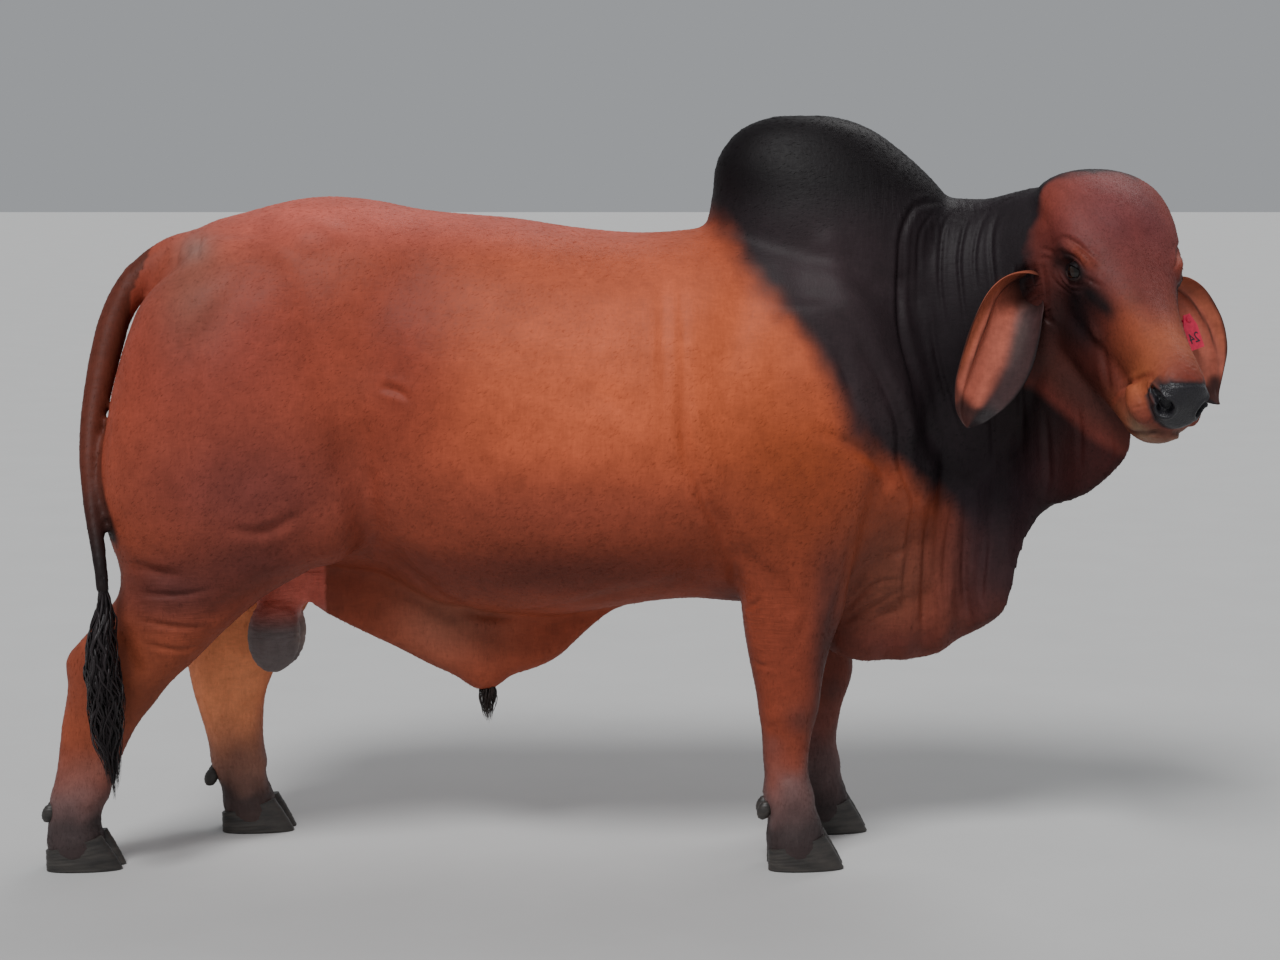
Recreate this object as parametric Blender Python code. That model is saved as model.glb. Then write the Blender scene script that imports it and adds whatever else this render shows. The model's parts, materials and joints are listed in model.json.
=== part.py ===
"""A red Brahman bull at life size, standing still with the head turned to its right.

Units are metres. +X is forward, +Y is the animal's left, +Z is up, and the ground is z = 0.
The flesh is modelled whole, fused and smoothed, then parted by thin cuts into named nodes.
"""

import math

import bmesh
import bpy
import numpy as np
from mathutils import Matrix, Vector

# Driving sizes
GAP = 0.0003
VOXEL = 0.007
BODY_TRIANGLES = 4100
HEAD_TRIANGLES = 2100
RIGHT = -1
LEFT = 1

# The whole part is moved by this much at the end, so that its box stands centred on the origin
FRAME_SHIFT = Vector((0.008, 0.112, 0.0))

# Trunk sections: x, top, bottom, half width, height of the widest place
TRUNK = (
    (-1.12, 1.330, 0.860, 0.090, 1.12),
    (-1.08, 1.400, 0.800, 0.150, 1.12),
    (-1.00, 1.465, 0.740, 0.205, 1.14),
    (-0.90, 1.495, 0.700, 0.245, 1.14),
    (-0.80, 1.520, 0.680, 0.282, 1.14),
    (-0.71, 1.530, 0.675, 0.298, 1.12),
    (-0.60, 1.520, 0.660, 0.310, 1.08),
    (-0.50, 1.500, 0.600, 0.326, 1.04),
    (-0.40, 1.490, 0.575, 0.342, 1.00),
    (-0.28, 1.480, 0.560, 0.357, 0.98),
    (-0.15, 1.460, 0.565, 0.365, 0.97),
    (0.00, 1.447, 0.590, 0.370, 0.97),
    (0.12, 1.455, 0.600, 0.355, 0.98),
    (0.25, 1.470, 0.590, 0.325, 1.00),
    (0.38, 1.480, 0.600, 0.295, 1.02),
    (0.50, 1.480, 0.630, 0.255, 1.04),
    (0.60, 1.460, 0.680, 0.210, 1.05),
    (0.68, 1.420, 0.760, 0.150, 1.08),
)

# Hind quarter levels: z, back, front, inner and outer distance from the middle plane
HIND = (
    (1.44, -0.98, -0.72, 0.000, 0.180),
    (1.38, -1.03, -0.66, 0.000, 0.245),
    (1.30, -1.118, -0.62, 0.000, 0.290),
    (1.15, -1.172, -0.58, 0.005, 0.325),
    (1.00, -1.202, -0.58, 0.020, 0.345),
    (0.88, -1.215, -0.61, 0.045, 0.340),
    (0.78, -1.200, -0.66, 0.070, 0.318),
    (0.70, -1.175, -0.73, 0.095, 0.290),
    (0.63, -1.184, -0.848, 0.110, 0.270),
    (0.55, -1.252, -0.942, 0.120, 0.258),
    (0.49, -1.303, -1.002, 0.125, 0.250),
    (0.43, -1.302, -1.067, 0.122, 0.242),
    (0.38, -1.310, -1.106, 0.122, 0.230),
    (0.33, -1.321, -1.146, 0.125, 0.222),
    (0.25, -1.331, -1.187, 0.125, 0.218),
    (0.20, -1.340, -1.205, 0.118, 0.228),
    (0.16, -1.352, -1.215, 0.112, 0.236),
    (0.11, -1.350, -1.246, 0.120, 0.226),
    (0.065, -1.354, -1.238, 0.112, 0.234),
    (0.020, -1.356, -1.232, 0.110, 0.236),
)
# How far forward the left hind leg stands of the right one, by height
HIND_STEP = ((0.0, 0.35), (0.10, 0.34), (0.25, 0.280), (0.45, 0.195), (0.65, 0.10), (0.92, 0.0))

# Foreleg levels, in the same form
FORE = (
    (1.30, 0.18, 0.52, 0.080, 0.265),
    (1.10, 0.17, 0.56, 0.070, 0.315),
    (0.95, 0.18, 0.55, 0.070, 0.322),
    (0.85, 0.20, 0.52, 0.070, 0.315),
    (0.75, 0.215, 0.495, 0.075, 0.295),
    (0.68, 0.220, 0.480, 0.080, 0.278),
    (0.60, 0.228, 0.464, 0.085, 0.262),
    (0.51, 0.242, 0.433, 0.092, 0.245),
    (0.44, 0.256, 0.418, 0.098, 0.235),
    (0.395, 0.265, 0.413, 0.100, 0.232),
    (0.36, 0.269, 0.408, 0.100, 0.230),
    (0.31, 0.277, 0.394, 0.112, 0.218),
    (0.25, 0.280, 0.387, 0.116, 0.214),
    (0.21, 0.284, 0.388, 0.110, 0.222),
    (0.165, 0.280, 0.402, 0.102, 0.230),
    (0.115, 0.297, 0.404, 0.110, 0.222),
    (0.070, 0.294, 0.413, 0.102, 0.230),
    (0.020, 0.293, 0.420, 0.100, 0.232),
)
FORE_STEP = ((0.0, 0.08), (0.12, 0.08), (0.40, 0.10), (0.60, 0.06), (0.92, 0.0))

# Hump levels: z, back, front, half width
HUMP = (
    (1.360, 0.140, 0.740, 0.190),
    (1.470, 0.152, 0.728, 0.178),
    (1.535, 0.165, 0.696, 0.160),
    (1.575, 0.168, 0.660, 0.146),
    (1.610, 0.175, 0.622, 0.130),
    (1.645, 0.195, 0.580, 0.110),
    (1.674, 0.220, 0.540, 0.090),
    (1.697, 0.262, 0.488, 0.066),
    (1.710, 0.310, 0.435, 0.038),
)

# Neck stations along its bend: x, y, z, half height, half width
NECK = (
    (0.40, 0.000, 1.120, 0.350, 0.200),
    (0.52, 0.000, 1.135, 0.365, 0.200),
    (0.66, -0.005, 1.180, 0.355, 0.185),
    (0.78, -0.030, 1.230, 0.318, 0.165),
    (0.88, -0.075, 1.280, 0.272, 0.152),
    (0.96, -0.130, 1.335, 0.235, 0.142),
    (1.02, -0.190, 1.365, 0.195, 0.130),
)

# Upright folds of the neck: place along it, lower end, and depth
NECK_FOLDS = (
    (0.670, 0.98, -0.007),
    (0.722, 0.92, -0.010),
    (0.765, 1.00, -0.006),
    (0.822, 0.94, -0.010),
    (0.862, 1.04, -0.006),
    (0.915, 1.06, -0.008),
)

# Dewlap levels: z, back, front, half thickness
DEWLAP = (
    (0.452, 0.50, 0.665, 0.030),
    (0.470, 0.445, 0.705, 0.042),
    (0.500, 0.420, 0.752, 0.052),
    (0.550, 0.400, 0.826, 0.056),
    (0.590, 0.400, 0.852, 0.054),
    (0.700, 0.400, 0.872, 0.050),
    (0.760, 0.42, 0.888, 0.048),
    (0.820, 0.44, 0.921, 0.048),
    (0.860, 0.48, 0.987, 0.046),
    (0.893, 0.50, 1.026, 0.046),
    (0.930, 0.52, 1.055, 0.048),
    (0.963, 0.55, 1.075, 0.050),
    (1.000, 0.58, 1.084, 0.054),
    (1.060, 0.62, 1.082, 0.062),
    (1.140, 0.66, 1.062, 0.070),
    (1.220, 0.70, 1.030, 0.064),
    (1.300, 0.74, 0.980, 0.040),
)
# Its upright folds: depth, spacing, how far they lean with height, and where they begin
DEWLAP_FOLD = (0.013, 0.088, 0.04, 0.50)
# The dewlap follows the neck's bend: where it starts, where it ends, and how far it swings
DEWLAP_BEND = (0.74, 1.12, 0.300)

# Sheath sections: x, top, bottom, half width
SHEATH = (
    (-0.80, 0.72, 0.610, 0.018),
    (-0.747, 0.70, 0.568, 0.026),
    (-0.66, 0.70, 0.522, 0.034),
    (-0.56, 0.70, 0.473, 0.040),
    (-0.49, 0.68, 0.436, 0.045),
    (-0.433, 0.67, 0.410, 0.048),
    (-0.384, 0.66, 0.378, 0.047),
    (-0.340, 0.66, 0.380, 0.045),
    (-0.300, 0.66, 0.410, 0.046),
    (-0.240, 0.66, 0.430, 0.046),
    (-0.187, 0.66, 0.458, 0.044),
    (-0.128, 0.66, 0.515, 0.040),
    (-0.060, 0.66, 0.572, 0.034),
    (0.020, 0.66, 0.610, 0.024),
)

# Head frame: its place is the point midway between the eyes, and its scale is this bull's
# head against the section tables below
HEAD_PLACE = Vector((1.063, -0.270, 1.372))
HEAD_YAW = math.radians(-74.0)
# The ears hang square to the poll, which turns a little less than the face
EARS_YAW = math.radians(-69.0)
HEAD_PITCH = math.radians(36.0)
HEAD_ROLL = math.radians(-5.0)
HEAD_SCALE = (1.06, 1.16, 1.12)

# Skull sections in the head's frame: x, top, bottom, half width, height of the widest place
SKULL = (
    (-0.275, 0.016, -0.120, 0.076, -0.04),
    (-0.240, 0.078, -0.150, 0.112, 0.01),
    (-0.190, 0.101, -0.170, 0.131, 0.03),
    (-0.120, 0.104, -0.180, 0.134, 0.03),
    (-0.050, 0.091, -0.180, 0.127, 0.02),
    (0.000, 0.075, -0.175, 0.114, 0.00),
    (0.060, 0.059, -0.160, 0.098, -0.02),
    (0.120, 0.047, -0.145, 0.0815, -0.03),
    (0.180, 0.040, -0.130, 0.0690, -0.03),
    (0.240, 0.035, -0.115, 0.0605, -0.03),
    (0.300, 0.032, -0.105, 0.0565, -0.03),
    (0.345, 0.026, -0.100, 0.0560, -0.03),
    (0.375, 0.011, -0.094, 0.0500, -0.035),
    (0.394, -0.018, -0.082, 0.0340, -0.04),
)
# Lower jaw sections in the head's frame, in the same form
JAW = (
    (-0.180, -0.060, -0.215, 0.070, -0.14),
    (-0.140, -0.050, -0.238, 0.098, -0.14),
    (-0.060, -0.050, -0.240, 0.105, -0.13),
    (0.020, -0.050, -0.225, 0.098, -0.12),
    (0.100, -0.060, -0.206, 0.081, -0.12),
    (0.180, -0.070, -0.192, 0.068, -0.12),
    (0.260, -0.080, -0.182, 0.057, -0.12),
    (0.315, -0.085, -0.176, 0.051, -0.12),
    (0.352, -0.090, -0.158, 0.043, -0.115),
    (0.370, -0.095, -0.132, 0.030, -0.11),
)
# The line between the lips in the head's frame, from one corner of the mouth to the other
MOUTH_LINE = (
    (0.235, -0.042, -0.176),
    (0.285, -0.042, -0.166),
    (0.325, -0.040, -0.150),
    (0.354, -0.035, -0.124),
    (0.374, -0.021, -0.107),
    (0.384, 0.000, -0.101),
    (0.374, 0.021, -0.107),
    (0.354, 0.035, -0.124),
    (0.325, 0.040, -0.150),
    (0.285, 0.042, -0.166),
    (0.235, 0.042, -0.176),
)
EYE_RADIUS = 0.0225
EYE_PLACE = (0.009, 0.0985, -0.004)
LID_HALF = (0.0235, 0.0125)
LID_TILT = 28.0

# Tail stations: x, y, z, radius
TAIL = (
    (-0.985, 0.000, 1.410, 0.046),
    (-1.050, -0.002, 1.404, 0.046),
    (-1.118, -0.014, 1.366, 0.044),
    (-1.166, -0.032, 1.312, 0.041),
    (-1.198, -0.056, 1.246, 0.038),
    (-1.217, -0.090, 1.162, 0.0345),
    (-1.229, -0.122, 1.085, 0.0310),
    (-1.236, -0.158, 1.015, 0.0275),
    (-1.236, -0.194, 0.945, 0.0245),
    (-1.230, -0.219, 0.885, 0.0220),
    (-1.221, -0.246, 0.826, 0.0200),
    (-1.207, -0.274, 0.760, 0.0180),
    (-1.197, -0.294, 0.705, 0.0168),
    (-1.191, -0.304, 0.645, 0.0160),
)
# Below the tail's end, the hair's stations: x, y, z, half depth and half width
SWITCH = (
    (-1.190, -0.306, 0.610, 0.024, 0.028),
    (-1.196, -0.310, 0.570, 0.032, 0.043),
    (-1.197, -0.312, 0.507, 0.038, 0.055),
    (-1.190, -0.312, 0.440, 0.040, 0.055),
    (-1.189, -0.312, 0.370, 0.038, 0.051),
    (-1.186, -0.312, 0.310, 0.030, 0.040),
    (-1.177, -0.312, 0.250, 0.018, 0.022),
    (-1.177, -0.312, 0.195, 0.005, 0.008),
)

# The hair's tiers of locks: height of their roots, how many, and mean height of their tips
SWITCH_TIERS = ((0.590, 5, 0.330), (0.520, 5, 0.270), (0.450, 5, 0.215))
# How far out of the core a lock lies, from its sunk root to its tip, as part of the form's radius
LOCK_REACH = (0.35, 0.86, 0.94, 0.88, 0.72)
LOCK_STEPS = len(LOCK_REACH)
# The hair's core ends this part of the way up from the tips, and is thinner than the whole form
CORE_PART = 0.55
CORE_THINNER = 0.62
# A lock's width, thickness and wave
LOCK_WAVES = 24.0
SWITCH_LOCK = (0.044, 0.013, 0.20)
# The tuft under the sheath, in the same forms
TUFT = (
    (-0.352, 0.0, 0.420, 0.016, 0.016),
    (-0.354, 0.0, 0.385, 0.024, 0.026),
    (-0.356, 0.0, 0.345, 0.022, 0.026),
    (-0.354, 0.0, 0.298, 0.008, 0.010),
)
TUFT_TIERS = ((0.392, 3, 0.318), (0.370, 3, 0.300))
TUFT_LOCK = (0.028, 0.010, 0.10)

# Ear stations: part of the way along it, width, curl half angle, thickness
EAR_LEAF = (
    (0.00, 0.064, 150.0, 0.0095),
    (0.14, 0.086, 124.0, 0.0090),
    (0.28, 0.128, 90.0, 0.0080),
    (0.44, 0.155, 61.0, 0.0070),
    (0.60, 0.160, 48.0, 0.0065),
    (0.77, 0.139, 40.0, 0.0060),
    (0.90, 0.090, 30.0, 0.0055),
    (1.00, 0.030, 18.0, 0.0050),
)
# The left ear's axis from the head's place, in the head's frame with its pitch taken out
EAR_AXIS = (
    (-0.145, 0.112, -0.050),
    (-0.145, 0.182, -0.062),
    (-0.128, 0.234, -0.092),
    (-0.104, 0.268, -0.142),
    (-0.092, 0.292, -0.206),
    (-0.098, 0.310, -0.272),
    (-0.105, 0.324, -0.332),
)
EAR_OPENS = (0.96, 0.28, 0.0)
# How far the middle of the right and of the left ear lies in towards the head
EAR_TUCK = {-1: 0.033, 1: 0.006}
# How the head's roll carries over to an ear's root and to its tip
EAR_ROLL = (1.0, -0.5)

TAG_AT = 0.41
# How far the tag hangs straight down rather than along the ear
TAG_DROP = 1.2
TAG_SIZE = (0.046, 0.070, 0.0022)
# How far in front of the ear's axis and aside of it the tag hangs, and where the stud's
# back button lies
TAG_FRONT = 0.010
TAG_ASIDE = -0.017
STUD_BACK = -0.048
STUD_PIN = 0.0030
STUD_HEAD = 0.0090

# Height of the coronet at the heel and at the toe, and how far the toe stands out
CORONET = (0.048, 0.080)
TOE_REACH = 0.046
CLEFT = 0.009
TOE_TURN = 0.012
# How far past the foot its cutter reaches
FOOT_REACH = 0.30
FETLOCK_HEIGHT = 0.16
CLAW_RINGS = 3
DEWCLAW = (0.016, 0.013, 0.023)

SIDES = ((RIGHT, "right"), (LEFT, "left"))

COLOURS = {
    "coat": (0.36, 0.105, 0.040, 1.0),
    "dark_coat": (0.050, 0.030, 0.032, 1.0),
    "skin": (0.30, 0.10, 0.07, 1.0),
    "horn": (0.045, 0.040, 0.038, 1.0),
    "wet": (0.010, 0.008, 0.008, 1.0),
    "nose": (0.030, 0.030, 0.036, 1.0),
    "tag": (0.75, 0.02, 0.08, 1.0),
}
ROUGHNESS = {"wet": 0.06, "nose": 0.30, "tag": 0.40, "horn": 0.45}


def clear_scene():
    for thing in list(bpy.data.objects):
        bpy.data.objects.remove(thing, do_unlink=True)


def material(name):
    made = bpy.data.materials.get(name)
    if made:
        return made
    made = bpy.data.materials.new(name)
    made.use_nodes = True
    made.diffuse_color = COLOURS[name]
    shader = made.node_tree.nodes["Principled BSDF"]
    shader.inputs["Base Color"].default_value = COLOURS[name]
    shader.inputs["Roughness"].default_value = ROUGHNESS.get(name, 0.6)
    shader.inputs["Metallic"].default_value = 0.0
    return made


def mesh_object(name, points, faces):
    """A closed mesh object with its faces turned out."""
    mesh = bpy.data.meshes.new(name)
    mesh.from_pydata([tuple(point) for point in points], [], [tuple(face) for face in faces])
    work = bmesh.new()
    work.from_mesh(mesh)
    bmesh.ops.recalc_face_normals(work, faces=work.faces)
    work.to_mesh(mesh)
    work.free()
    thing = bpy.data.objects.new(name, mesh)
    bpy.context.scene.collection.objects.link(thing)
    return thing


def smooth_rows(rows, count):
    """Rows of numbers read off a smooth curve through the given rows."""
    rows = np.asarray(rows, float)
    last = len(rows) - 1
    place = np.linspace(0, last, count)
    index = np.minimum(place.astype(int), last - 1)
    part = (place - index)[:, None]
    ends = np.vstack([2 * rows[0] - rows[1], rows, 2 * rows[-1] - rows[-2]])
    before, start, end, after = (ends[index + step] for step in range(4))
    bend = 2 * before - 5 * start + 4 * end - after
    twist = 3 * start - before - 3 * end + after
    return 0.5 * (2 * start + (end - before) * part + bend * part**2 + twist * part**3)


def round_factors(count, power, low_power=None):
    """Factors across and up that go once round a superellipse, with its own power below."""
    turn = np.linspace(0, 2 * math.pi, count, endpoint=False)
    across, up = np.cos(turn), np.sin(turn)
    power = np.where(up < 0, low_power or power, power)
    return np.sign(across) * abs(across) ** (2 / power), np.sign(up) * abs(up) ** (2 / power)


def loft(name, rings):
    """A closed tube through rings of equal count, with a fan over each end."""
    count = len(rings[0])
    points = np.vstack([*rings, rings[0].mean(axis=0), rings[-1].mean(axis=0)])
    faces = []
    for row in range(len(rings) - 1):
        for step in range(count):
            after = (step + 1) % count
            low, high = row * count, (row + 1) * count
            faces.append((low + step, low + after, high + after, high + step))
    top = (len(rings) - 1) * count
    for step in range(count):
        after = (step + 1) % count
        faces.append((step, after, len(points) - 2))
        faces.append((top + step, top + after, len(points) - 1))
    return mesh_object(name, points, faces)


def girth_ring(x, top, bottom, half, widest, power=2.15, count=40):
    """An upright ring across the body, with its widest place at its own height."""
    across, up = round_factors(count, power)
    height = np.where(up > 0, widest + (top - widest) * up, widest + (widest - bottom) * up)
    return np.stack([np.full(count, x), half * across, height], axis=1)


def level_ring(z, back, front, inner, outer, side, power=2.3, count=28):
    """A level ring through a leg."""
    across, up = round_factors(count, power)
    x = (back + front) / 2 + (front - back) / 2 * across
    y = side * ((inner + outer) / 2 + (outer - inner) / 2 * up)
    return np.stack([x, y, np.full(count, z)], axis=1)


def tube_rings(stations, power=2.0, count=24, up=Vector((0, 0, 1)), low_power=None):
    """Rings set square to a path. A station is x, y, z, half height and half width."""
    stations = np.asarray(stations, float)
    if stations.shape[1] == 4:
        stations = np.hstack([stations, stations[:, 3:4]])
    along = np.gradient(stations[:, :3], axis=0)
    across, rise = round_factors(count, power, low_power)
    rings = []
    for station, direction in zip(stations, along):
        forward = Vector(direction).normalized()
        side = forward.cross(up).normalized()
        top = side.cross(forward).normalized()
        offset = np.outer(across * station[4], side) + np.outer(rise * station[3], top)
        rings.append(station[:3] + offset)
    return rings


def ellipsoid(place, radii, turn=(0.0, 0.0, 0.0), detail=3):
    """A ball stretched by radii, turned by degrees about X, Y and Z, and set at place."""
    work = bmesh.new()
    bmesh.ops.create_icosphere(work, subdivisions=detail, radius=1.0)
    mesh = bpy.data.meshes.new("ball")
    work.to_mesh(mesh)
    work.free()
    turned = Matrix.Identity(4)
    for angle, axis in zip(turn, "XYZ"):
        turned = Matrix.Rotation(math.radians(angle), 4, axis) @ turned
    mesh.transform(Matrix.Translation(place) @ turned @ Matrix.Diagonal((*radii, 1.0)))
    thing = bpy.data.objects.new("ball", mesh)
    bpy.context.scene.collection.objects.link(thing)
    return thing


def both_sides(place, radii, turn=(0.0, 0.0, 0.0)):
    """Two mirrored balls, one on each side of the middle plane."""
    x, y, z = place
    about_x, about_y, about_z = turn
    return [
        ellipsoid((x, side * abs(y), z), radii, (-side * about_x, about_y, -side * about_z))
        for side in (RIGHT, LEFT)
    ]


def head_matrix():
    """The head's frame in the world: X to the muzzle, Y to its left, Z up through the forehead."""
    turned = Matrix.Rotation(HEAD_YAW, 4, "Z") @ Matrix.Rotation(HEAD_PITCH, 4, "Y")
    turned = turned @ Matrix.Rotation(HEAD_ROLL, 4, "X")
    return Matrix.Translation(HEAD_PLACE) @ turned @ Matrix.Diagonal((*HEAD_SCALE, 1.0))


def level_head_matrix():
    """The head's place and the poll's yaw alone, for what hangs from it."""
    return Matrix.Translation(HEAD_PLACE) @ Matrix.Rotation(EARS_YAW, 4, "Z")


def apply_modifier(thing, modifier):
    bpy.context.view_layer.objects.active = thing
    bpy.ops.object.modifier_apply(modifier=modifier.name)


def join(things):
    """One object from several, which may still cross one another."""
    work = bmesh.new()
    for thing in things:
        mesh = thing.data
        mesh.transform(thing.matrix_world)
        work.from_mesh(mesh)
        bpy.data.objects.remove(thing)
    mesh = bpy.data.meshes.new("joined")
    work.to_mesh(mesh)
    work.free()
    whole = bpy.data.objects.new("joined", mesh)
    bpy.context.scene.collection.objects.link(whole)
    return whole


def remesh(thing, voxel):
    modifier = thing.modifiers.new("remesh", "REMESH")
    modifier.mode = "VOXEL"
    modifier.voxel_size = voxel
    apply_modifier(thing, modifier)


def relax(thing, rounds, chosen=None):
    """Smooths the surface, or only the chosen points of it."""
    modifier = thing.modifiers.new("smooth", "SMOOTH")
    modifier.factor = 0.5
    modifier.iterations = rounds
    if chosen is not None:
        group = thing.vertex_groups.new(name="chosen")
        group.add(np.nonzero(chosen)[0].tolist(), 1.0, "REPLACE")
        modifier.vertex_group = group.name
    apply_modifier(thing, modifier)
    thing.vertex_groups.clear()


def in_head(points, margin=0.0):
    """Which points belong to the head, and their places in its frame."""
    from_world = head_matrix().inverted()
    local = points @ np.array(from_world.to_3x3()).T + np.array(from_world.translation)
    head = (local[:, 0] > -0.24 - margin) & (abs(local[:, 1]) < 0.16) & (local[:, 2] > -0.25)
    return head, local


def keep_largest(thing):
    """Keeps only the closed surface with the most faces, and drops sealed hollows and scraps."""
    work = bmesh.new()
    work.from_mesh(thing.data)
    left = set(work.faces)
    shells = []
    while left:
        shell = [left.pop()]
        edge = list(shell)
        while edge:
            for link in edge.pop().edges:
                for face in link.link_faces:
                    if face in left:
                        left.discard(face)
                        shell.append(face)
                        edge.append(face)
        shells.append(shell)
    shells.sort(key=len)
    drop = [face for shell in shells[:-1] for face in shell]
    bmesh.ops.delete(work, geom=drop, context="FACES")
    work.to_mesh(thing.data)
    work.free()
    return thing


def boolean(thing, other, operation, keep_other=False, solver="EXACT"):
    modifier = thing.modifiers.new("boolean", "BOOLEAN")
    modifier.operation = operation
    modifier.object = other
    modifier.solver = solver
    apply_modifier(thing, modifier)
    if not keep_other:
        bpy.data.objects.remove(other)
    return keep_largest(thing)


def copy_of(thing, name):
    made = thing.copy()
    made.data = thing.data.copy()
    made.name = name
    bpy.context.scene.collection.objects.link(made)
    return made


def grown(thing, gap=GAP):
    """A copy with its surface moved out by the gap."""
    made = copy_of(thing, "grown")
    work = bmesh.new()
    work.from_mesh(made.data)
    bmesh.ops.triangulate(work, faces=work.faces)
    work.normal_update()
    moves = [(vert, vert.normal * gap) for vert in work.verts]
    for vert, move in moves:
        vert.co += move
    work.to_mesh(made.data)
    work.free()
    return made


def offset_outline(outline, gap):
    """A flat outline, counter-clockwise, with each side moved out by the gap."""
    moved = []
    count = len(outline)
    for index in range(count):
        before, here, after = (np.array(outline[(index + step) % count]) for step in (-1, 0, 1))
        first = (here - before) / np.linalg.norm(here - before)
        second = (after - here) / np.linalg.norm(after - here)
        out_first = np.array([first[1], -first[0]])
        out_second = np.array([second[1], -second[0]])
        bisector = out_first + out_second
        bisector /= np.linalg.norm(bisector)
        moved.append(here + bisector * gap / bisector.dot(out_first))
    return moved


def prism(outline, y_low, y_high, gap=0.0, frame=None):
    """A solid with a side outline in x and z, counter-clockwise as x runs right and z up."""
    corners = offset_outline(outline, gap)
    count = len(corners)
    points = [(x, y_low - gap, z) for x, z in corners] + [(x, y_high + gap, z) for x, z in corners]
    faces = [tuple(range(count)), tuple(range(count, 2 * count))]
    for index in range(count):
        after = (index + 1) % count
        faces.append((index, after, after + count, index + count))
    thing = mesh_object("prism", points, faces)
    if frame:
        thing.data.transform(frame)
    return thing


def carve(body, name, outline, y_low, y_high, frame=None):
    """Takes the piece of the body inside a prism as a node of its own, a gap away from the rest."""
    piece = copy_of(body, name)
    boolean(piece, prism(outline, y_low, y_high, 0.0, frame), "INTERSECT")
    boolean(body, prism(outline, y_low, y_high, GAP, frame), "DIFFERENCE")
    return piece


def vertex_arrays(mesh):
    points = np.empty(len(mesh.vertices) * 3, np.float32)
    normals = np.empty(len(mesh.vertices) * 3, np.float32)
    mesh.vertices.foreach_get("co", points)
    mesh.vertex_normals.foreach_get("vector", normals)
    return points.reshape(-1, 3).astype(float), normals.reshape(-1, 3).astype(float)


def path_distance(points, path):
    """Each point's distance from a run of straight stretches."""
    path = np.asarray(path, float)
    best = np.full(len(points), np.inf)
    for start, end in zip(path[:-1], path[1:]):
        run = end - start
        along = np.clip((points - start) @ run / (run @ run), 0.0, 1.0)
        best = np.minimum(best, np.linalg.norm(points - start - along[:, None] * run, axis=1))
    return best


def side_stroke(points, normals, path, width, depth, sides=(RIGHT, LEFT)):
    """Raises or presses the flanks along a path in x and z, where the skin faces sideways."""
    near = np.exp(-((path_distance(points[:, [0, 2]], path) / width) ** 2))
    for side in sides:
        facing = np.clip(side * normals[:, 1], 0.0, 1.0) ** 0.5
        here = near * facing * (side * points[:, 1] > -0.02)
        points += normals * (depth * here)[:, None]


def step_at(steps, height):
    heights, shifts = zip(*steps)
    return float(np.interp(height, heights, shifts))


def leg(rows, steps, side, count):
    """A leg's flesh from its level rings. The left one stands forward of the right one."""
    rings = []
    for z, back, front, inner, outer in smooth_rows(rows, count):
        shift = step_at(steps, z) if side == LEFT else 0.0
        rings.append(level_ring(z, back + shift, front + shift, inner, outer, side))
    return loft("leg", rings)


def trunk():
    return loft("trunk", [girth_ring(*row) for row in smooth_rows(TRUNK, 46)])


def hump():
    rings = []
    for z, back, front, half in smooth_rows(HUMP, 24):
        across, up = round_factors(32, 2.1)
        x = (back + front) / 2 + (front - back) / 2 * across
        rings.append(np.stack([x, half * up, np.full(32, z)], axis=1))
    return loft("hump", rings)


def neck():
    return loft("neck", tube_rings(smooth_rows(NECK, 20), power=2.2, count=36, low_power=1.45))


def dewlap_side(x):
    """How far the dewlap has swung to the animal's right at x."""
    start, end, swing = DEWLAP_BEND
    part = np.clip((x - start) / (end - start), 0.0, 1.0)
    return -swing * part**2 * (3 - 2 * part)


def dewlap():
    """A hanging curtain of skin that bends with the neck, with upright folds along it."""
    count = 30
    depth, spacing, lean, start = DEWLAP_FOLD
    rings = []
    for z, back, front, half in smooth_rows(DEWLAP, 34):
        part = 0.5 - 0.5 * np.cos(np.linspace(0, math.pi, count))
        x = back + (front - back) * part
        thick = half * (1.9 - 1.2 * part) * (1 - abs(2 * part - 1) ** 5) ** 0.5 + 0.002
        strength = np.clip((1.10 - z) / 0.4, 0.0, 1.0) * np.clip((x - start) / 0.15, 0.0, 1.0)
        fold = depth * strength * np.sin(2 * math.pi * (x - lean * z) / spacing)
        middle = dewlap_side(x) + fold
        near = np.stack([x, middle - thick, np.full(count, z)], axis=1)
        far = np.stack([x, middle + thick, np.full(count, z)], axis=1)
        rings.append(np.vstack([near, far[::-1]]))
    return loft("dewlap", rings)


def sheath():
    rings = []
    for x, top, bottom, half in smooth_rows(SHEATH, 34):
        rings.append(girth_ring(x, top, bottom, half, (top + bottom) / 2 - 0.05, 2.4, 20))
    return loft("sheath", rings)


def muscles():
    """Balls that stand for the muscle and bone that show through the hide."""
    made = []
    made += both_sides((0.46, 0.155, 1.12), (0.17, 0.120, 0.30), (0, -22, 0))
    made += both_sides((0.56, 0.120, 0.92), (0.13, 0.110, 0.15))
    made += both_sides((0.32, 0.200, 0.87), (0.15, 0.112, 0.20), (0, -18, 0))
    made += both_sides((-0.72, 0.150, 1.40), (0.11, 0.075, 0.085))
    made += both_sides((-0.70, 0.205, 0.87), (0.13, 0.10, 0.18), (0, 20, 0))
    made += both_sides((-1.00, 0.140, 1.14), (0.14, 0.13, 0.24))
    made.append(ellipsoid((-0.98, 0, 1.02), (0.15, 0.15, 0.36)))
    made.append(ellipsoid((-1.04, 0, 1.36), (0.08, 0.06, 0.07)))
    made.append(ellipsoid((0.48, 0, 0.72), (0.24, 0.14, 0.20)))
    return made


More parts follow.
